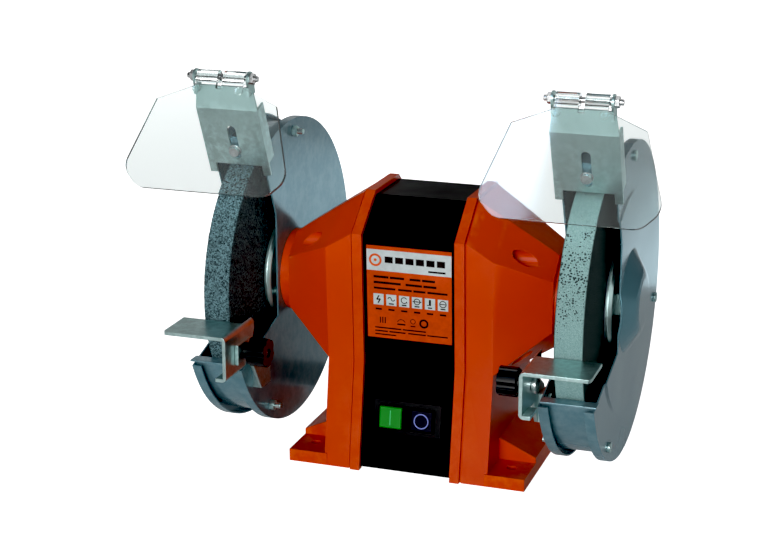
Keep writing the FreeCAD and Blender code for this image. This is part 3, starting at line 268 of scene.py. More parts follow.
# %% Group: bonded grit
def grit_group():
    """Grains of abrasive in their bond: a tone for each grain, open pores and a height."""
    tree, given, out = new_group(
        "bonded_grit", [("Grain Scale", "NodeSocketFloat", 900.0),
                        ("Pore Scale", "NodeSocketFloat", 500.0), ("Pores", "NodeSocketFloat", 0.5),
                        ("Worn Spot", "NodeSocketVector", (0.0, 0.0, 0.0))],
        [("Tone", "NodeSocketFloat"), ("Pore", "NodeSocketFloat"), ("Height", "NodeSocketFloat")])
    place = add(tree, "ShaderNodeTexCoord").outputs["Object"]
    grains = add(tree, "ShaderNodeTexVoronoi")
    wire(tree, place, grains.inputs["Vector"])
    wire(tree, given.outputs["Grain Scale"], grains.inputs["Scale"])
    tone = add(tree, "ShaderNodeSeparateColor")
    wire(tree, grains.outputs["Color"], tone.inputs[0])
    wire(tree, tone.outputs[0], out.inputs["Tone"])
    pores = add(tree, "ShaderNodeTexVoronoi", Randomness=1.0)
    wire(tree, place, pores.inputs["Vector"])
    wire(tree, given.outputs["Pore Scale"], pores.inputs["Scale"])
    apart = add(tree, "ShaderNodeVectorMath", operation="DISTANCE")
    wire(tree, place, apart.inputs[0])
    wire(tree, given.outputs["Worn Spot"], apart.inputs[1])
    patch = maths(tree, "ADD", noise(tree, place, 90.0, 3.0, 0.6),
                  remap(tree, apart.outputs["Value"], 0.008, 0.05, 0.2, -0.12))
    reach = maths(tree, "MULTIPLY", remap(tree, patch, 0.42, 0.7, 0.0, 0.5), given.outputs["Pores"])
    inside = maths(tree, "LESS_THAN", pores.outputs["Distance"], reach)
    wire(tree, inside, out.inputs["Pore"])
    height = maths(tree, "SUBTRACT", remap(tree, grains.outputs["Distance"], 0.0, 0.7, 1.0, 0.0), inside)
    wire(tree, height, out.inputs["Height"])
    return tree


GROUPS = {"clouding": clouding_group(), "wear_and_shade": wear_and_shade_group(), "streaks": streak_group(),
          "grit": grit_group()}
print("groups:", sorted(GROUPS))

# %% [markdown]
# ## Finishes
# Every finish starts from one Principled shader.  `start_finish` makes the material and
# returns its tree and shader; `place_group` adds one of the groups above; `tint` mixes two
# colours by a mask; and `relief` turns a height into a bump.

# %% Finish helpers
def start_finish(name, **sockets):
    material = bpy.data.materials.new(name)
    material.use_nodes = True
    tree = material.node_tree
    shader = tree.nodes["Principled BSDF"]
    for key, value in sockets.items():
        shader.inputs[key.replace("_", " ")].default_value = value
    return material, tree, shader


def place_group(tree, name, **inputs):
    made = tree.nodes.new("ShaderNodeGroup")
    made.node_tree = GROUPS[name]
    for key, value in inputs.items():
        made.inputs[key.replace("_", " ")].default_value = value
    return made


def tint(tree, mask, first, second):
    """Mix two colours, or a colour and a socket, by a mask."""
    made = add(tree, "ShaderNodeMix", data_type="RGBA")
    wire(tree, mask, made.inputs[0])
    for socket, value in zip((made.inputs[6], made.inputs[7]), (first, second)):
        if isinstance(value, tuple):
            socket.default_value = (*value, 1.0)
        else:
            wire(tree, value, socket)
    return made.outputs[2]


def relief(tree, shader, height, strength, distance):
    bump = add(tree, "ShaderNodeBump", Strength=strength, Distance=distance)
    wire(tree, height, bump.inputs["Height"])
    wire(tree, bump.outputs["Normal"], shader.inputs["Normal"])


# %% [markdown]
# ### Paint
# The bells are cast aluminium under thick orange enamel, and the guards are pressed sheet
# under a harder blue-grey one.  Enamel is a coloured base with a clear coat, and its
# slight orange peel is a bump a few hundredths of a millimetre deep.  The colour thins on
# outer edges, and a little painted shade darkens it in the recesses.

# %% Enamel
def enamel(name, colour, deep, pale, rough, peel, coat, gloss, flake=0.0):
    material, tree, shader = start_finish(name, Coat_Weight=coat, Coat_Roughness=0.06,
                                          Specular_IOR_Level=gloss, Metallic=flake)
    cloud = place_group(tree, "clouding", Patch_Scale=11.0, Grain_Scale=420.0)
    wear_and_shade = place_group(tree, "wear_and_shade", Width=0.55, Break_Scale=90.0)
    base = tint(tree, remap(tree, cloud.outputs["Patches"], 0.3, 0.7), deep, colour)
    base = tint(tree, wear_and_shade.outputs["Edge"], base, pale)
    # Painted shade: the recesses are darkened towards a deeper tone of the paint.
    base = tint(tree, maths(tree, "MULTIPLY", wear_and_shade.outputs["Recess Shade"], 0.45), base,
                tuple(v * 0.35 for v in deep))
    wire(tree, base, shader.inputs["Base Color"])
    wire(tree, remap(tree, cloud.outputs["Patches"], 0.25, 0.75, rough - 0.05, rough + 0.08),
         shader.inputs["Roughness"])
    relief(tree, shader, cloud.outputs["Grain"], peel, 0.0002)
    return material


ORANGE = enamel("orange_enamel", (0.64, 0.056, 0.001), (0.57, 0.046, 0.001), (0.8, 0.17, 0.02),
                0.34, 0.05, 0.1, 0.3)
GUARD_GREY = enamel("guard_enamel", (0.15, 0.3, 0.36), (0.135, 0.28, 0.335), (0.38, 0.54, 0.59),
                    0.2, 0.02, 0.1, 0.4, flake=0.45)
print("paints:", ORANGE.name, GUARD_GREY.name)

# %% [markdown]
# ### Plastics
# The centre cover, the switch and the knobs are moulded.  A moulded face has a faint, even
# texture from its tool, so the grain is finer than the paint's, and the gloss is broader.

# %% Moulded plastic
def moulded(name, colour, rough, grain, coat=0.0, gloss=0.4):
    material, tree, shader = start_finish(name, Coat_Weight=coat, Coat_Roughness=0.15,
                                          Specular_IOR_Level=gloss)
    cloud = place_group(tree, "clouding", Patch_Scale=22.0, Grain_Scale=1500.0)
    wear_and_shade = place_group(tree, "wear_and_shade", Width=0.35, Break_Scale=160.0)
    darker = tuple(v * 0.8 for v in colour)
    base = tint(tree, remap(tree, cloud.outputs["Patches"], 0.3, 0.7), darker, colour)
    base = tint(tree, wear_and_shade.outputs["Edge"], base, tuple(v * 1.3 + 0.012 for v in colour))
    wire(tree, base, shader.inputs["Base Color"])
    wire(tree, remap(tree, cloud.outputs["Patches"], 0.3, 0.7, rough - 0.06, rough + 0.06),
         shader.inputs["Roughness"])
    relief(tree, shader, cloud.outputs["Grain"], grain, 0.0001)
    return material


COVER_BLACK = moulded("cover_black", (0.003, 0.003, 0.0035), 0.36, 0.1, gloss=0.16)
SWITCH_BLACK = moulded("switch_black", (0.004, 0.004, 0.005), 0.4, 0.2, gloss=0.2)
BUTTON_GREEN = moulded("button_green", (0.004, 0.3, 0.012), 0.35, 0.05)
BUTTON_BLACK = moulded("button_black", (0.004, 0.004, 0.012), 0.34, 0.05, gloss=0.2)
KNOB_BLACK = moulded("knob_black", (0.005, 0.005, 0.006), 0.36, 0.2, gloss=0.3)
CAN_PLASTIC = moulded("can_plastic", (0.62, 0.62, 0.58), 0.45, 0.1)
BLOCK_PLASTIC = moulded("block_plastic", (0.7, 0.66, 0.55), 0.5, 0.1)
MARK_GREEN = moulded("mark_green", (0.06, 0.62, 0.2), 0.45, 0.05)
MARK_BLUE = moulded("mark_blue", (0.24, 0.3, 0.82), 0.45, 0.05)

# %% [markdown]
# ### Bare metal
# Zinc-plated sheet shows small spangles and the direction of rolling; turned steel shows
# fine lines round its axis.  Both are metallic shaders whose colour and roughness follow
# the streak group, and the edges are rubbed brighter.

# %% Metal
def metal(name, colour, dark, rough, stretch, spangle, scale=60.0):
    material, tree, shader = start_finish(name, Metallic=1.0)
    streak = place_group(tree, "streaks", Stretch=stretch, Scale=scale)
    wear_and_shade = place_group(tree, "wear_and_shade", Width=0.8, Break_Scale=200.0)
    mixed = maths(tree, "ADD", maths(tree, "MULTIPLY", streak.outputs["Streaks"], 1.0 - spangle),
                  maths(tree, "MULTIPLY", streak.outputs["Spangle"], spangle))
    base = tint(tree, remap(tree, mixed, 0.25, 0.75), dark, colour)
    base = tint(tree, wear_and_shade.outputs["Edge"], base, tuple(min(1.0, v * 1.25 + 0.08) for v in colour))
    wire(tree, base, shader.inputs["Base Color"])
    wire(tree, remap(tree, mixed, 0.2, 0.8, rough - 0.08, rough + 0.1), shader.inputs["Roughness"])
    relief(tree, shader, streak.outputs["Streaks"], 0.12, 0.0001)
    return material


ZINC = metal("zinc_steel", (0.5, 0.68, 0.67), (0.42, 0.58, 0.57), 0.34, (1.0, 1.0, 0.12), 0.16)
BRIGHT = metal("bright_steel", (0.72, 0.74, 0.74), (0.5, 0.52, 0.53), 0.22, (9.0, 0.3, 0.3), 0.05)
CORE = metal("core_steel", (0.34, 0.34, 0.36), (0.2, 0.2, 0.22), 0.4, (40.0, 0.2, 0.2), 0.0)
COPPER = metal("copper_wire", (0.72, 0.3, 0.12), (0.42, 0.14, 0.05), 0.35, (0.4, 12.0, 12.0), 0.0)

# %% [markdown]
# ### Abrasive
# A grinding wheel is grit in a fired bond.  The left wheel is coarse and dark, the right one
# finer and pale, with open pores.  Each grain takes its own tone from a cell pattern, and the
# pores are dark pits that cluster where a second, larger pattern allows them.  The two sides
# are painted shade: they get a far darker tone than the ground face, for the look deep inside
# a guard, where little light reaches, and a real side is probably nearer to its face.

# %% Abrasive
WHEEL_LOW, WHEEL_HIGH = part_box("wheel_right")
WHEEL_PLANE = (WHEEL_LOW[0] + WHEEL_HIGH[0]) / 2
WHEEL_HALF = (WHEEL_HIGH[0] - WHEEL_LOW[0]) / 2


def abrasive(name, light, dark, grain, pore_scale, pores, depth, spot, side_shade):
    material, tree, shader = start_finish(name, Roughness=0.88)
    place = add(tree, "ShaderNodeSeparateXYZ")
    wire(tree, add(tree, "ShaderNodeTexCoord").outputs["Object"], place.inputs[0])
    across = maths(tree, "ABSOLUTE", place.outputs["X"], 0.0)
    across = maths(tree, "ABSOLUTE", maths(tree, "SUBTRACT", across, WHEEL_PLANE), 0.0)
    # A mask of the two sides, where shade is painted.
    side_shade_mask = remap(tree, across, WHEEL_HALF - 1.0 * MM, WHEEL_HALF - 0.3 * MM)
    grit = place_group(tree, "grit", Grain_Scale=grain, Pore_Scale=pore_scale, Pores=pores,
                       Worn_Spot=spot)
    base = tint(tree, grit.outputs["Tone"], dark, light)
    base = tint(tree, grit.outputs["Pore"], base, tuple(v * 0.12 for v in dark))
    # Painted shade: the sides take the grit's tones made far darker, as deep in a guard.
    sides = tint(tree, grit.outputs["Tone"], tuple(v * side_shade for v in dark),
                 tuple(v * side_shade for v in light))
    wire(tree, tint(tree, side_shade_mask, base, sides), shader.inputs["Base Color"])
    relief(tree, shader, grit.outputs["Height"], 0.8, depth)
    return material


# The last number for each wheel is the painted shade on its sides.
COARSE = abrasive("coarse_grit", (0.2, 0.36, 0.4), (0.008, 0.018, 0.022), 1150.0, 420.0, 0.6, 0.0008,
                  (-0.125, -0.06, 0.2), 0.2)
FINE = abrasive("fine_grit", (0.36, 0.56, 0.55), (0.23, 0.4, 0.39), 1900.0, 620.0, 0.8, 0.0004,
                (0.117, -0.09, 0.17), 0.12)

# %% [markdown]
# ### Clear plastic, card and film
# The eye shields are clear moulded sheet, so light passes straight through and only the
# edges and knuckles draw themselves.  Card washers are plain fibre, and the rating plate is
# a printed film with a soft gloss.

# %% Clear plastic, card and film
def clear_plastic():
    material, tree, shader = start_finish("clear_plastic", Base_Color=(0.9, 0.955, 0.95, 1.0),
                                          Transmission_Weight=0.985, IOR=1.45)
    cloud = place_group(tree, "clouding", Patch_Scale=20.0, Grain_Scale=300.0)
    wire(tree, remap(tree, cloud.outputs["Patches"], 0.3, 0.8, 0.02, 0.07),
         shader.inputs["Roughness"])
    return material


def card():
    material, tree, shader = start_finish("washer_card", Roughness=0.9)
    cloud = place_group(tree, "clouding", Patch_Scale=60.0, Grain_Scale=1200.0)
    wire(tree, tint(tree, cloud.outputs["Patches"], (0.12, 0.15, 0.22), (0.22, 0.26, 0.34)),
         shader.inputs["Base Color"])
    relief(tree, shader, cloud.outputs["Grain"], 0.5, 0.0001)
    return material


CLEAR = clear_plastic()
CARD = card()
FILM = moulded("label_film", (0.56, 0.058, 0.001), 0.4, 0.03, gloss=0.3)
FILM_WHITE = moulded("film_white", (0.56, 0.63, 0.64), 0.42, 0.03)
FILM_DARK = moulded("film_dark", (0.012, 0.008, 0.008), 0.44, 0.03, gloss=0.15)

# %% [markdown]
# ## The nodes that keep their shape
# The record gives each CAD node a material slot.  The finish that belongs to a slot goes on
# every node that uses it, so nothing is left with a flat colour.

# %% Finishes on the CAD nodes
FINISHES = {
    "housing_paint": ORANGE, "cover_black": COVER_BLACK, "label_film": FILM,
    "switch_black": SWITCH_BLACK, "button_green": BUTTON_GREEN, "button_black": BUTTON_BLACK,
    "guard_paint": GUARD_GREY, "zinc_steel": ZINC, "bright_steel": BRIGHT,
    "coarse_grit": COARSE, "fine_grit": FINE, "washer_card": CARD, "clear_plastic": CLEAR,
    "knob_black": KNOB_BLACK, "core_steel": CORE, "copper_wire": COPPER,
    "can_plastic": CAN_PLASTIC, "block_plastic": BLOCK_PLASTIC,
}
NODE_SLOT = {name: item.material_slots[0].material.name for name, item in NODES.items()}
for name, item in NODES.items():
    item.material_slots[0].material = FINISHES[NODE_SLOT[name]]
print("finished nodes:", len(NODE_SLOT))

# %% [markdown]
# ## Corners that a real edge has
# A casting, a moulding and a cut sheet all have small radii, and light shows them first.
# A copy of the CAD mesh is merged, its flat faces are made whole, and its sharp edges are
# bevelled.  The copy then stands for the node, in the same place and at the same size.

# %% Eased copies
def eased(node, width, segments=2, sharp=28):
    """A copy of a CAD node with its sharp edges rounded, which stands for that node."""
    source = NODES[node]
    piece = bpy.data.objects.new(f"{node}_eased", source.data.copy())
    bpy.context.scene.collection.objects.link(piece)
    edit(piece)
    bpy.ops.mesh.select_all(action="SELECT")
    bpy.ops.mesh.customdata_custom_splitnormals_clear()
    bpy.ops.mesh.remove_doubles(threshold=0.00001)
    bpy.ops.mesh.dissolve_limited(angle_limit=radians(0.6))
    leave()
    bevel = piece.modifiers.new("corners", "BEVEL")
    bevel.width = width
    bevel.segments = segments
    bevel.limit_method = "ANGLE"
    bevel.angle_limit = radians(sharp)
    bevel.miter_outer = "MITER_ARC"
    apply_all(piece)
    finish_piece(piece, f"{node}_eased", source["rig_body"], FINISHES[NODE_SLOT[node]])
    weigh = piece.modifiers.new("flat_faces", "WEIGHTED_NORMAL")
    weigh.keep_sharp = True
    apply_all(piece)
    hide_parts(node)
    return piece


EASED = {
    "end_bell": (1.6 * MM, 3), "guard_plate": (0.35 * MM, 2), "guard_cover": (0.35 * MM, 2),
    "guard_band": (0.3 * MM, 2), "shield_bracket": (0.4 * MM, 2), "tool_rest": (0.5 * MM, 2),
    "rest_arm": (0.4 * MM, 2), "rest_knob": (0.8 * MM, 3), "eye_shield": (0.4 * MM, 2),
    "inner_flange": (0.4 * MM, 2), "outer_flange": (0.4 * MM, 2), "wheel_nut": (0.5 * MM, 2),
    "hinge_rod": (0.3 * MM, 2), "slot_bolt": (0.35 * MM, 2), "guard_bolts": (0.3 * MM, 2),
    "rest_bolt": (0.4 * MM, 2),
}
pieces = {}
for stem, (width, segments) in EASED.items():
    for side in SIDES:
        pieces[f"{stem}_{side}"] = eased(f"{stem}_{side}", width, segments)
for node, width in (("centre_cover", 1.0 * MM), ("tie_bolts", 0.3 * MM),
                    ("switch_housing", 0.8 * MM), ("cord_gland", 0.5 * MM)):
    pieces[node] = eased(node, width, 3)
print("eased:", len(pieces), "faces:", sum(len(p.data.polygons) for p in pieces.values()))

# %% [markdown]
# ## Grinding wheels
# A wheel is pressed and fired, then trued with a diamond, so its faces are flat but open
# and its corners are broken.  It starts as a disc, the faces are inset in rings down to the
# bore, and a slight displacement lifts the grains, so that the outline is gritty as well.

# %% Wheels
WHEEL_STEPS = 360
FACE_RINGS = 22
WIDTH_CUTS = 11
SHAFT_STEP = 3 * MM        # the shaft is this much thinner, all round, where a wheel sits on it
OUTER_RIM = 0.8 * MM
BROKEN_CORNER = 0.6 * MM


def abrasive_wheel(side, grain, lift, material):
    """One wheel, made from a disc whose faces are inset ring by ring down to the bore."""
    low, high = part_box(f"wheel_{side}")
    middle = (Vector(low) + Vector(high)) / 2
    radius = (high[2] - low[2]) / 2
    width = high[0] - low[0]
    bore = (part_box("shaft")[1][2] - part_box("shaft")[0][2]) / 2 - SHAFT_STEP
    bpy.ops.object.select_all(action="DESELECT")
    bpy.ops.mesh.primitive_cylinder_add(vertices=WHEEL_STEPS, radius=radius - lift, depth=width - 2 * lift,
                                        location=middle, rotation=(0, pi / 2, 0))
    wheel = apply_place(bpy.context.object)
    edit(wheel)
    bpy.ops.mesh.select_mode(type="EDGE")
    bpy.ops.mesh.select_all(action="DESELECT")
    leave()
    for line in wheel.data.edges:
        ends = [wheel.data.vertices[v].co for v in line.vertices]
        line.select = abs(ends[0].x - ends[1].x) > width / 2
    bpy.ops.object.mode_set(mode="EDIT")
    bpy.ops.mesh.subdivide(number_cuts=WIDTH_CUTS)
    pick_faces(wheel, lambda place, normal: abs(normal.x) > 0.9)
    bpy.ops.mesh.inset(thickness=OUTER_RIM, use_individual=True)
    step = (radius - bore - OUTER_RIM) / FACE_RINGS
    for _ in range(FACE_RINGS):
        bpy.ops.mesh.inset(thickness=step, use_individual=True)
    bpy.ops.mesh.delete(type="FACE")
    leave()
    inner = bore + lift + 0.1 * MM
    for line in wheel.data.edges:
        ends = [wheel.data.vertices[v].co for v in line.vertices]
        line.select = all((place - middle).yz.length < inner for place in ends)
    bpy.ops.object.mode_set(mode="EDIT")
    bpy.ops.mesh.select_mode(type="EDGE")
    bpy.ops.mesh.bridge_edge_loops()
    bpy.ops.mesh.select_all(action="SELECT")
    bpy.ops.mesh.normals_make_consistent(inside=False)
    leave()
    corner = wheel.modifiers.new("broken_corner", "BEVEL")
    corner.width = BROKEN_CORNER
    corner.segments = 2
    corner.limit_method = "ANGLE"
    corner.angle_limit = radians(60)
    grains = bpy.data.textures.new(f"grains_{side}", "CLOUDS")
    grains.noise_scale = grain
    grains.noise_depth = 1
    raised = wheel.modifiers.new("grains", "DISPLACE")
    raised.texture = grains
    raised.texture_coords = "LOCAL"
    raised.mid_level = 0.5
    raised.strength = lift
    apply_all(wheel)
    finish_piece(wheel, f"abrasive_wheel_{side}", "rotor", material, 50)
    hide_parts(f"wheel_{side}")
    return wheel


wheels = [abrasive_wheel("left", 1.6 * MM, 0.5 * MM, COARSE),
          abrasive_wheel("right", 1.2 * MM, 0.16 * MM, FINE)]
print("wheels:", [(w.name, len(w.data.polygons)) for w in wheels])

# %% [markdown]
# ## Flat marks
# The rating plate and the buttons are printed.  Ink has almost no thickness, so each mark is
# a flat shape drawn on a plane, gathered with its neighbours and given a few hundredths of a
# millimetre.  `on_face` then lays the group on the front face of its node.

# %% Drawing marks
INK = 0.06 * MM


def front_face(node):
    """The middle and the direction of the broad front face of a node."""
    faces = [f for f in NODES[node].data.polygons if f.normal.y < -0.7]
    broad = max(faces, key=lambda face: face.area).normal.copy()
    flat = [f for f in faces if f.normal.angle(broad) < 0.01]
    middle = sum((f.center * f.area for f in flat), Vector()) / sum(f.area for f in flat)
    return middle, broad


def bar(across, up, width, height, turn=0.0):
    bpy.ops.mesh.primitive_plane_add(size=1, location=(across * MM, up * MM, 0), rotation=(0, 0, turn))
    made = bpy.context.object
    made.scale = (width * MM, height * MM, 1)
    return made


def disc(across, up, radius, corners=32):
    bpy.ops.mesh.primitive_circle_add(vertices=corners, radius=radius * MM, fill_type="NGON",
                                      location=(across * MM, up * MM, 0))
    return bpy.context.object


def ring(across, up, radius, line, start=0.0, end=360.0):
    """A ring, or a stretch of one, spun from a short radial edge."""
    bpy.ops.mesh.primitive_plane_add(size=1, location=(0, 0, 0))
    made = bpy.context.object
    edit(made)
    bpy.ops.mesh.select_mode(type="VERT")
    bpy.ops.mesh.select_all(action="SELECT")
    bpy.ops.mesh.merge(type="CENTER")
    bpy.ops.transform.translate(value=((radius - line / 2) * MM * cos(radians(start)),
                                       (radius - line / 2) * MM * sin(radians(start)), 0))
    bpy.ops.mesh.extrude_region_move(TRANSFORM_OT_translate={
        "value": (line * MM * cos(radians(start)), line * MM * sin(radians(start)), 0)})
    bpy.ops.mesh.select_all(action="SELECT")
    bpy.ops.mesh.spin(steps=36, angle=radians(end - start), center=(0, 0, 0), axis=(0, 0, -1))
    bpy.ops.mesh.select_all(action="SELECT")
    bpy.ops.mesh.remove_doubles(threshold=0.00001)
    bpy.ops.mesh.normals_make_consistent(inside=False)
    leave()
    made.location = (across * MM, up * MM, 0)
    return made


def on_face(marks, name, node, material, rise=0.0, nudge=(0.0, 0.0)):
    """Gather flat marks, give them their thickness and lay them on a node's front face."""
    middle, out = front_face(node)
    bpy.ops.object.select_all(action="DESELECT")
    for mark in marks:
        mark.select_set(True)
    bpy.context.view_layer.objects.active = marks[0]
    bpy.ops.object.transform_apply(location=True, rotation=True, scale=True)
    bpy.ops.object.join()
    sheet = bpy.context.object
    edit(sheet)
    bpy.ops.mesh.select_all(action="SELECT")
    bpy.ops.mesh.normals_make_consistent(inside=False)
    bpy.ops.mesh.extrude_region_move(TRANSFORM_OT_translate={"value": (0, 0, INK)})
    bpy.ops.mesh.select_all(action="SELECT")
    bpy.ops.mesh.normals_make_consistent(inside=False)
    leave()
    right = Vector((1, 0, 0))
    up = out.cross(right).normalized()
    turn = Matrix((right, up, out)).transposed().to_4x4()
    place = middle + out * (rise + 0.01 * MM) + right * nudge[0] + up * nudge[1]
    sheet.matrix_world = Matrix.Translation(place) @ turn
    apply_place(sheet)
    return finish_piece(sheet, name, NODES[node]["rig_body"], material)


# %% [markdown]
# ### Rating plate
# The plate is an orange film with a white strip at its head.  Where a real plate is lettered,
# this one has plain bars as long as the lines they stand for, and each rating has a small
# pictogram: power, current, turning, diameter, width and bore.

# %% Rating plate
PLATE_LOW, PLATE_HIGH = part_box("label_plate")
HALF_PLATE = (PLATE_HIGH[0] - PLATE_LOW[0]) / 2 / MM
TOP = (PLATE_HIGH[2] - PLATE_LOW[2]) / 2 / MM
STRIP_TOP, STRIP_HIGH = 2.7, 15.4
ICON_PITCH, ICON_WIDE, ICON_HIGH, ICON_ROW = 9.45, 7.5, 8.2, 39.3
FIRST_ICON = -22.6

white = [bar(0, TOP - STRIP_TOP - STRIP_HIGH / 2, 2 * HALF_PLATE - 0.2, STRIP_HIGH)]
icon_places = [(FIRST_ICON + ICON_PITCH * count, TOP - ICON_ROW) for count in range(6)]
white += [bar(across, up, ICON_WIDE, ICON_HIGH) for across, up in icon_places]
on_face(white, "plate_white_print", "label_plate", FILM_WHITE)

LINES = ((22.6, 1.7, ((-26, -15), (-14, -3.5), (0.5, 8.5), (9.5, 19))),
         (26.8, 1.7, ((-26, -6), (-2.5, 9.5), (10.5, 20))),
         (31.0, 1.5, ((-26, -10), (-8, 2), (3.2, 12), (13.4, 28))), (60.4, 1.0, ((-25.5, -6), (-5, 12))),
         (62.9, 1.0, ((-25.5, -16), (-15, -3), (-1, 12), (13, 28))), (65.4, 0.9, ((-25.5, -10),)))
dark = []
for down, tall, words in LINES:
    dark += [bar((start + end) / 2, TOP - down, end - start, tall) for start, end in words]
dark += [bar(across, up - 7.2, 4.6, 1.3) for across, up in icon_places]
dark += [bar(-21.5 + 1.8 * count, TOP - 54.6, 0.8, 4.6) for count in range(3)]
dark += [bar(-6, TOP - 56.6, 6, 1.2), ring(-6, TOP - 56, 3.0, 0.5, 20, 160)]
dark += [ring(2.6, TOP - 53.6, 1.7, 0.5), bar(2.6, TOP - 57.2, 3.6, 0.8)]
dark += [ring(10.6, TOP - 54.4, 2.7, 1.4)]
on_face(dark, "plate_line_print", "label_plate", FILM_DARK)


# %% Pictograms
def pictograms(places):
    """The six ratings, each drawn with bars and rings in its own white square."""
    power, current, turning, across, wide, bore = places
    thin, thick = 0.6, 0.9
    drawn = [bar(power[0] - 0.5, power[1] + 1.2, thick, 3.6, -0.5), bar(power[0], power[1], 2.8, thick, 0.2),
             bar(power[0] + 0.5, power[1] - 1.2, thick, 3.6, -0.5)]
    drawn += [ring(current[0] - 1.2, current[1] + 0.8, 1.2, thin, 0, 180),
              ring(current[0] + 1.2, current[1] + 0.8, 1.2, thin, 180, 360),
              bar(current[0], current[1] - 2.7, 3.6, thick)]
    drawn += [ring(turning[0], turning[1] + 0.8, 2.1, thin, 30, 320),
              disc(turning[0] + 1.7, turning[1] - 0.6, 0.9, 3),
              bar(turning[0], turning[1] - 2.8, 3.4, thick)]
    drawn += [ring(across[0], across[1] + 0.8, 2.1, thin), bar(across[0], across[1] + 0.8, 6.4, thin),
              disc(across[0], across[1] + 0.8, 0.5), bar(across[0], across[1] - 2.8, 3.6, thick)]
    drawn += [bar(wide[0], wide[1] + 1.0, 1.5, 4.4), bar(wide[0] - 1.5, wide[1] - 0.9, 1.2, thin),
              bar(wide[0], wide[1] - 2.8, 3.0, thick)]
    drawn += [ring(bore[0], bore[1] + 0.8, 2.3, thin), bar(bore[0], bore[1] + 0.8, 4.4, thin),
              bar(bore[0], bore[1] - 2.8, 3.6, thick)]
    return drawn


on_face(pictograms(icon_places), "plate_pictograms", "label_plate", FILM_DARK, INK)
STRIP_MIDDLE = TOP - STRIP_TOP - STRIP_HIGH / 2
head = [ring(-24.5, STRIP_MIDDLE, 3.9, 1.5), disc(-24.5, STRIP_MIDDLE, 1.2, 6)]
on_face(head, "plate_wheel_mark", "label_plate", ORANGE, INK)
head = [bar(-14.6 + 7.6 * count, STRIP_MIDDLE + 0.8, 5.9, 4.6) for count in range(6)]
head += [bar(20.4, STRIP_MIDDLE - 5.2, 12.5, 1.3)]
on_face(head, "plate_head_bars", "label_plate", FILM_DARK, INK)
print("rating plate drawn on", HALF_PLATE * 2, "by", round(TOP * 2, 1), "mm")

# %% [markdown]
# ### Switch marks
# The green button carries a single stroke for on, the dark one a pale ring for off.

# %% Switch marks
on_face([bar(0, 0, 0.7, 10.8)], "on_stroke", "on_button", MARK_GREEN)
on_face([ring(0, 0, 5.1, 0.65)], "off_ring", "off_button", MARK_BLUE)
print("switch marks done")

# %% [markdown]
# ## Threads
# The bolts that close the guards come through on the motor side and show some turns of
# thread past their nuts.  A thread is a small triangle carried round and along the shank by
# the Screw modifier, and its two ends are closed.

# %% Threads
THREAD_PITCH = 0.9 * MM
THREAD_SECTION = 0.42 * MM
THREAD_LENGTH = 4.6 * MM
THREAD_SINK = 0.1 * MM     # how far the coil is set into the shank
TIP_MARGIN = 0.6 * MM


def thread(name, node, end, radius, length, into):
    """A V thread round a shank that lies along X; `end` is its tip, `into` points inwards."""
    bpy.ops.object.select_all(action="DESELECT")
    bpy.ops.mesh.primitive_circle_add(vertices=3, radius=THREAD_SECTION, fill_type="NOTHING",
                                      location=(0, 0, 0), rotation=(0, 0, 0))
    coil = bpy.context.object
    edit(coil)
    bpy.ops.mesh.select_all(action="SELECT")
    bpy.ops.transform.translate(value=(radius, 0, 0))
    bpy.ops.transform.rotate(value=pi / 2, orient_axis="X", center_override=(0, 0, 0))
    leave()
    turns = coil.modifiers.new("turns", "SCREW")
    turns.axis = "Z"
    turns.screw_offset = THREAD_PITCH
    turns.iterations = round(length / THREAD_PITCH)
    turns.steps = turns.render_steps = 20
    apply_all(coil)
    edit(coil)
    bpy.ops.mesh.select_all(action="DESELECT")
    bpy.ops.mesh.select_mode(type="VERT")
    bpy.ops.mesh.select_non_manifold()
    bpy.ops.mesh.fill_holes(sides=3)
    bpy.ops.mesh.select_all(action="SELECT")
    bpy.ops.mesh.normals_make_consistent(inside=False)
    leave()
    coil.matrix_world = Matrix.Translation(end) @ Matrix.Rotation(into * pi / 2, 4, "Y")
    apply_place(coil)
    return finish_piece(coil, name, NODES[node]["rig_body"], BRIGHT)


def islands(node):
    """The lowest and highest corners of each separate solid in a node."""
    copy = bpy.data.objects.new("loose", NODES[node].data.copy())
    bpy.context.scene.collection.objects.link(copy)
    edit(copy)
    bpy.ops.mesh.select_all(action="SELECT")
    bpy.ops.mesh.remove_doubles(threshold=0.00001)
    bpy.ops.mesh.separate(type="LOOSE")
    leave()
    loose = list(bpy.context.selected_objects)
    found = []
    for piece in loose:
        places = [v.co for v in piece.data.vertices]
        found.append([Vector([pick(p[axis] for p in places) for axis in range(3)])
                      for pick in (min, max)])
        bpy.data.objects.remove(piece)
    return sorted(found, key=lambda box: (round(box[0].z, 4), round(box[0].y, 4)))


def tail_radius(node, tip):
    """How thick a shank is at its tip, from the mesh itself."""
    near = [v.co for v in NODES[node].data.vertices if abs(v.co.x - tip.x) < 1.2 * MM]
    return min(0.02, max((Vector((place.y, place.z)) - Vector((tip.y, tip.z))).length
                         for place in near if (place - tip).length < 6 * MM))


threads = []
for side, inward in (("left", 1), ("right", -1)):
    for count, (low, high) in enumerate(islands(f"guard_bolts_{side}")):
        tip = (low + high) / 2
        tip.x = high.x if inward > 0 else low.x
        thick = tail_radius(f"guard_bolts_{side}", tip)
        print("guard bolt", side, count, "tip", tuple(round(v, 4) for v in tip), "radius", round(thick, 5))
        threads.append(thread(f"bolt_thread_{side}_{count}", f"guard_bolts_{side}",
                              tip - Vector((inward * TIP_MARGIN, 0, 0)), thick - THREAD_SINK,
                              THREAD_LENGTH, -inward))
print("threads:", len(threads))

# %% [markdown]
# ## Shield bosses
# Where the shield's neck meets its two knuckles, the moulding has a small round boss.  It is
# a short disc with a softened rim, laid on the front of the neck.

# %% Bosses
BOSS_OUT, BOSS_DOWN, BOSS_RADIUS, BOSS_HIGH = 15.5 * MM, 10.5 * MM, 3.0 * MM, 0.9 * MM
BOSS_RIM, BOSS_DIMPLE = 1.2 * MM, 0.35 * MM


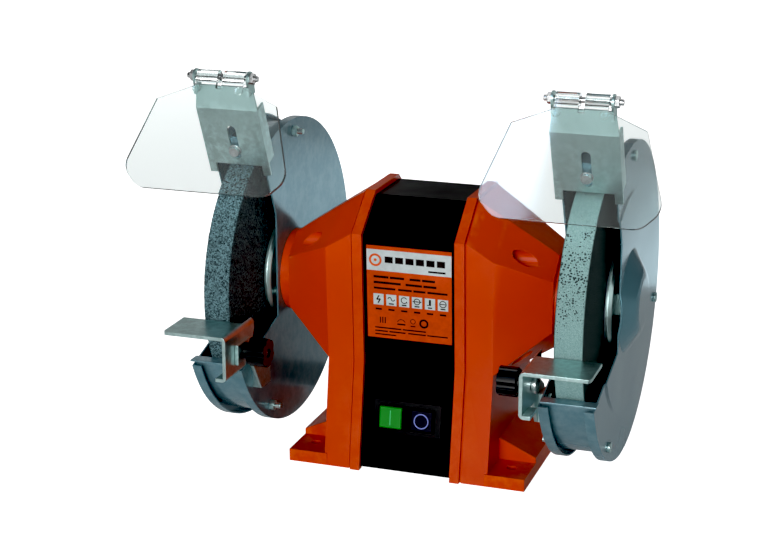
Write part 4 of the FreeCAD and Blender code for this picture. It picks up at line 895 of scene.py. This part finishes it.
def boss(side, sign):
    middle, out = front_face(f"eye_shield_{side}")
    rod_low, rod_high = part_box(f"hinge_rod_{side}")
    pin = (Vector(rod_low) + Vector(rod_high)) / 2
    down = Vector((0, -out.z, out.y))
    flat = pin + out * (middle - pin).dot(out)
    place = flat + down * BOSS_DOWN + Vector((sign * BOSS_OUT, 0, 0))
    bpy.ops.object.select_all(action="DESELECT")
    bpy.ops.mesh.primitive_cylinder_add(vertices=32, radius=BOSS_RADIUS, depth=BOSS_HIGH,
                                        location=place + out * BOSS_HIGH * 0.55,
                                        rotation=out.to_track_quat("Z", "Y").to_euler())
    made = apply_place(bpy.context.object)
    edit(made)
    pick_faces(made, lambda place, normal: normal.dot(out) > 0.9)
    bpy.ops.mesh.inset(thickness=BOSS_RIM)
    bpy.ops.transform.translate(value=-out * BOSS_DIMPLE)
    leave()
    soft = made.modifiers.new("rim", "BEVEL")
    soft.width = 0.25 * MM
    soft.segments = 3
    soft.angle_limit = radians(25)
    apply_all(made)
    name = "inner" if (sign > 0) == (side == "left") else "outer"
    return finish_piece(made, f"shield_boss_{side}_{name}", f"shield_{side}", CLEAR)


bosses = [boss(side, sign) for side in SIDES for sign in (-1, 1)]
print("bosses:", [piece.name for piece in bosses])

# %% [markdown]
# ## Floor
# A pale floor that curves up behind the machine gives a plain white surround.  It glows where
# the camera sees it, and half as much through the clear shields, so that it never turns grey.

# %% Floor
FLOOR_HALF = 4.0
FLOOR_RADIUS = 1.5
FLOOR_GLOW = 1.0
GLOW_THROUGH_SHIELDS = 0.52
bpy.ops.object.select_all(action="DESELECT")
bpy.ops.mesh.primitive_plane_add(size=2 * FLOOR_HALF, location=(0, 0, -0.0002))
floor = bpy.context.object
edit(floor)
bpy.ops.mesh.select_mode(type="EDGE")
bpy.ops.mesh.select_all(action="DESELECT")
leave()
for line in floor.data.edges:
    line.select = all(floor.data.vertices[v].co.y > FLOOR_HALF - 0.01 for v in line.vertices)
bpy.ops.object.mode_set(mode="EDIT")
for step in range(8):
    angle = radians(90) * (step + 0.5) / 8
    length = FLOOR_RADIUS * radians(90) / 8
    bpy.ops.mesh.extrude_region_move(TRANSFORM_OT_translate={
        "value": (0, length * cos(angle), length * sin(angle))})
bpy.ops.mesh.extrude_region_move(TRANSFORM_OT_translate={"value": (0, 0, FLOOR_HALF)})
leave()
floor.name = "studio_floor"
bpy.ops.object.shade_smooth()
floor_paint, floor_tree, floor_shader = start_finish("floor_paint", Roughness=0.7)
floor_cloud = place_group(floor_tree, "clouding", Patch_Scale=2.0, Grain_Scale=60.0)
wire(floor_tree, tint(floor_tree, floor_cloud.outputs["Patches"], (0.9, 0.9, 0.9), (0.93, 0.93, 0.93)),
     floor_shader.inputs["Base Color"])
floor_shader.inputs["Emission Color"].default_value = (1.0, 1.0, 1.0, 1.0)
floor_path = add(floor_tree, "ShaderNodeLightPath")
floor_seen = maths(floor_tree, "ADD", floor_path.outputs["Is Camera Ray"],
                   maths(floor_tree, "MULTIPLY", floor_path.outputs["Is Transmission Ray"],
                         GLOW_THROUGH_SHIELDS))
wire(floor_tree, maths(floor_tree, "MULTIPLY", floor_seen, FLOOR_GLOW),
     floor_shader.inputs["Emission Strength"])
floor.data.materials.append(floor_paint)
print("floor:", 2 * FLOOR_HALF, "m across")

# %% [markdown]
# ## Cards
# Polished paint and plated steel show what stands round them, so a studio lays cards out of
# view.  Two dark cards give the guards their depth, and a pale one lifts the left guard.

# %% Cards for the reflections
def card_on_floor(name, place, size, material):
    """A sheet on the floor that shows only in reflections, as a studio card does."""
    bpy.ops.object.select_all(action="DESELECT")
    bpy.ops.mesh.primitive_plane_add(size=1, location=(*place, 0.4 * MM))
    made = bpy.context.object
    made.name = name
    made.scale = (*size, 1)
    for kind in ("camera", "diffuse", "transmission", "shadow", "volume_scatter"):
        setattr(made, f"visible_{kind}", False)
    made.data.materials.append(material)


pale_glow = start_finish("pale_glow", Emission_Color=(0.72, 0.92, 1.0, 1.0), Emission_Strength=0.9)[0]
card_on_floor("dark_card_left", (-0.09, 0.115), (0.14, 0.055), KNOB_BLACK)
card_on_floor("dark_card_right", (0.62, -0.25), (0.7, 0.6), KNOB_BLACK)
card_on_floor("pale_card", (0.15, 0.7), (0.25, 0.5), pale_glow)
print("three cards laid for the reflections")

# %% [markdown]
# ## Light
# One large soft light stands low in front, two light the back from either side and one lies
# overhead.  Three panels, on the right, in front and behind, light nothing but show in what is
# glossy.  The narrow front panel is placed by mirroring the view in the right shield.

# %% Light
def lamp(name, place, size, power, target=(0.0, 0.0, 0.13)):
    bpy.ops.object.light_add(type="AREA", location=place)
    made = bpy.context.object
    made.name = name
    made.data.shape = "RECTANGLE"
    made.data.size, made.data.size_y = size
    made.data.energy = power
    made.rotation_euler = (Vector(place) - Vector(target)).to_track_quat("Z", "Y").to_euler()
    return made


def seen_in(node, across, distance):
    """Where a panel must stand to be mirrored for the camera at a point of a clear face."""
    middle, out = front_face(node)
    point = middle + Vector((across, 0, 0))
    look = (point - camera.location).normalized()
    return point + look.reflect(out) * distance


lamp("key_light", (0.1, -2.4, 0.7), (1.0, 0.8), 36.0)
side_panel = lamp("side_panel", (2.3, -0.9, 0.7), (1.6, 1.6), 9.0)
side_panel.visible_diffuse = False
front_panel = lamp("front_panel", seen_in("eye_shield_right", -0.045, 1.9), (0.13, 0.5), 1.5)
front_panel.data.color = (0.6, 0.78, 1.0)
front_panel.visible_diffuse = False
lamp("top_light", (-0.2, 0.5, 2.1), (1.4, 1.0), 3.5)
rear_panel = lamp("rear_panel", (-1.38, 2.1, 0.8), (1.2, 1.0), 1.2)
rear_panel.visible_diffuse = False
rear_panel.visible_transmission = False
lamp("back_light_left", (-1.5, 2.1, 0.8), (1.2, 1.0), 20.0).visible_glossy = False
lamp("back_light_right", (1.5, 2.1, 0.8), (1.2, 1.0), 14.0).visible_glossy = False


AIR_LIGHT, AIR_SEEN = 0.08, 1.25
BLACK_LEVEL = 0.019


def studio_air():
    """A plain white surround that is bright behind the machine and dim as a light."""
    world = bpy.data.worlds.new("studio")
    bpy.context.scene.world = world
    world.use_nodes = True
    tree = world.node_tree
    air = tree.nodes["Background"]
    air.inputs["Color"].default_value = (1.0, 1.0, 1.0, 1.0)
    path = add(tree, "ShaderNodeLightPath")
    seen = maths(tree, "MAXIMUM", path.outputs["Is Camera Ray"],
                 path.outputs["Is Transmission Ray"])
    wire(tree, remap(tree, seen, 0.0, 1.0, AIR_LIGHT, AIR_SEEN), air.inputs["Strength"])


studio_air()
settings = bpy.context.scene.view_settings
settings.view_transform = "Standard"
settings.use_curve_mapping = True
settings.curve_mapping.black_level = (BLACK_LEVEL, BLACK_LEVEL, BLACK_LEVEL)
settings.curve_mapping.update()
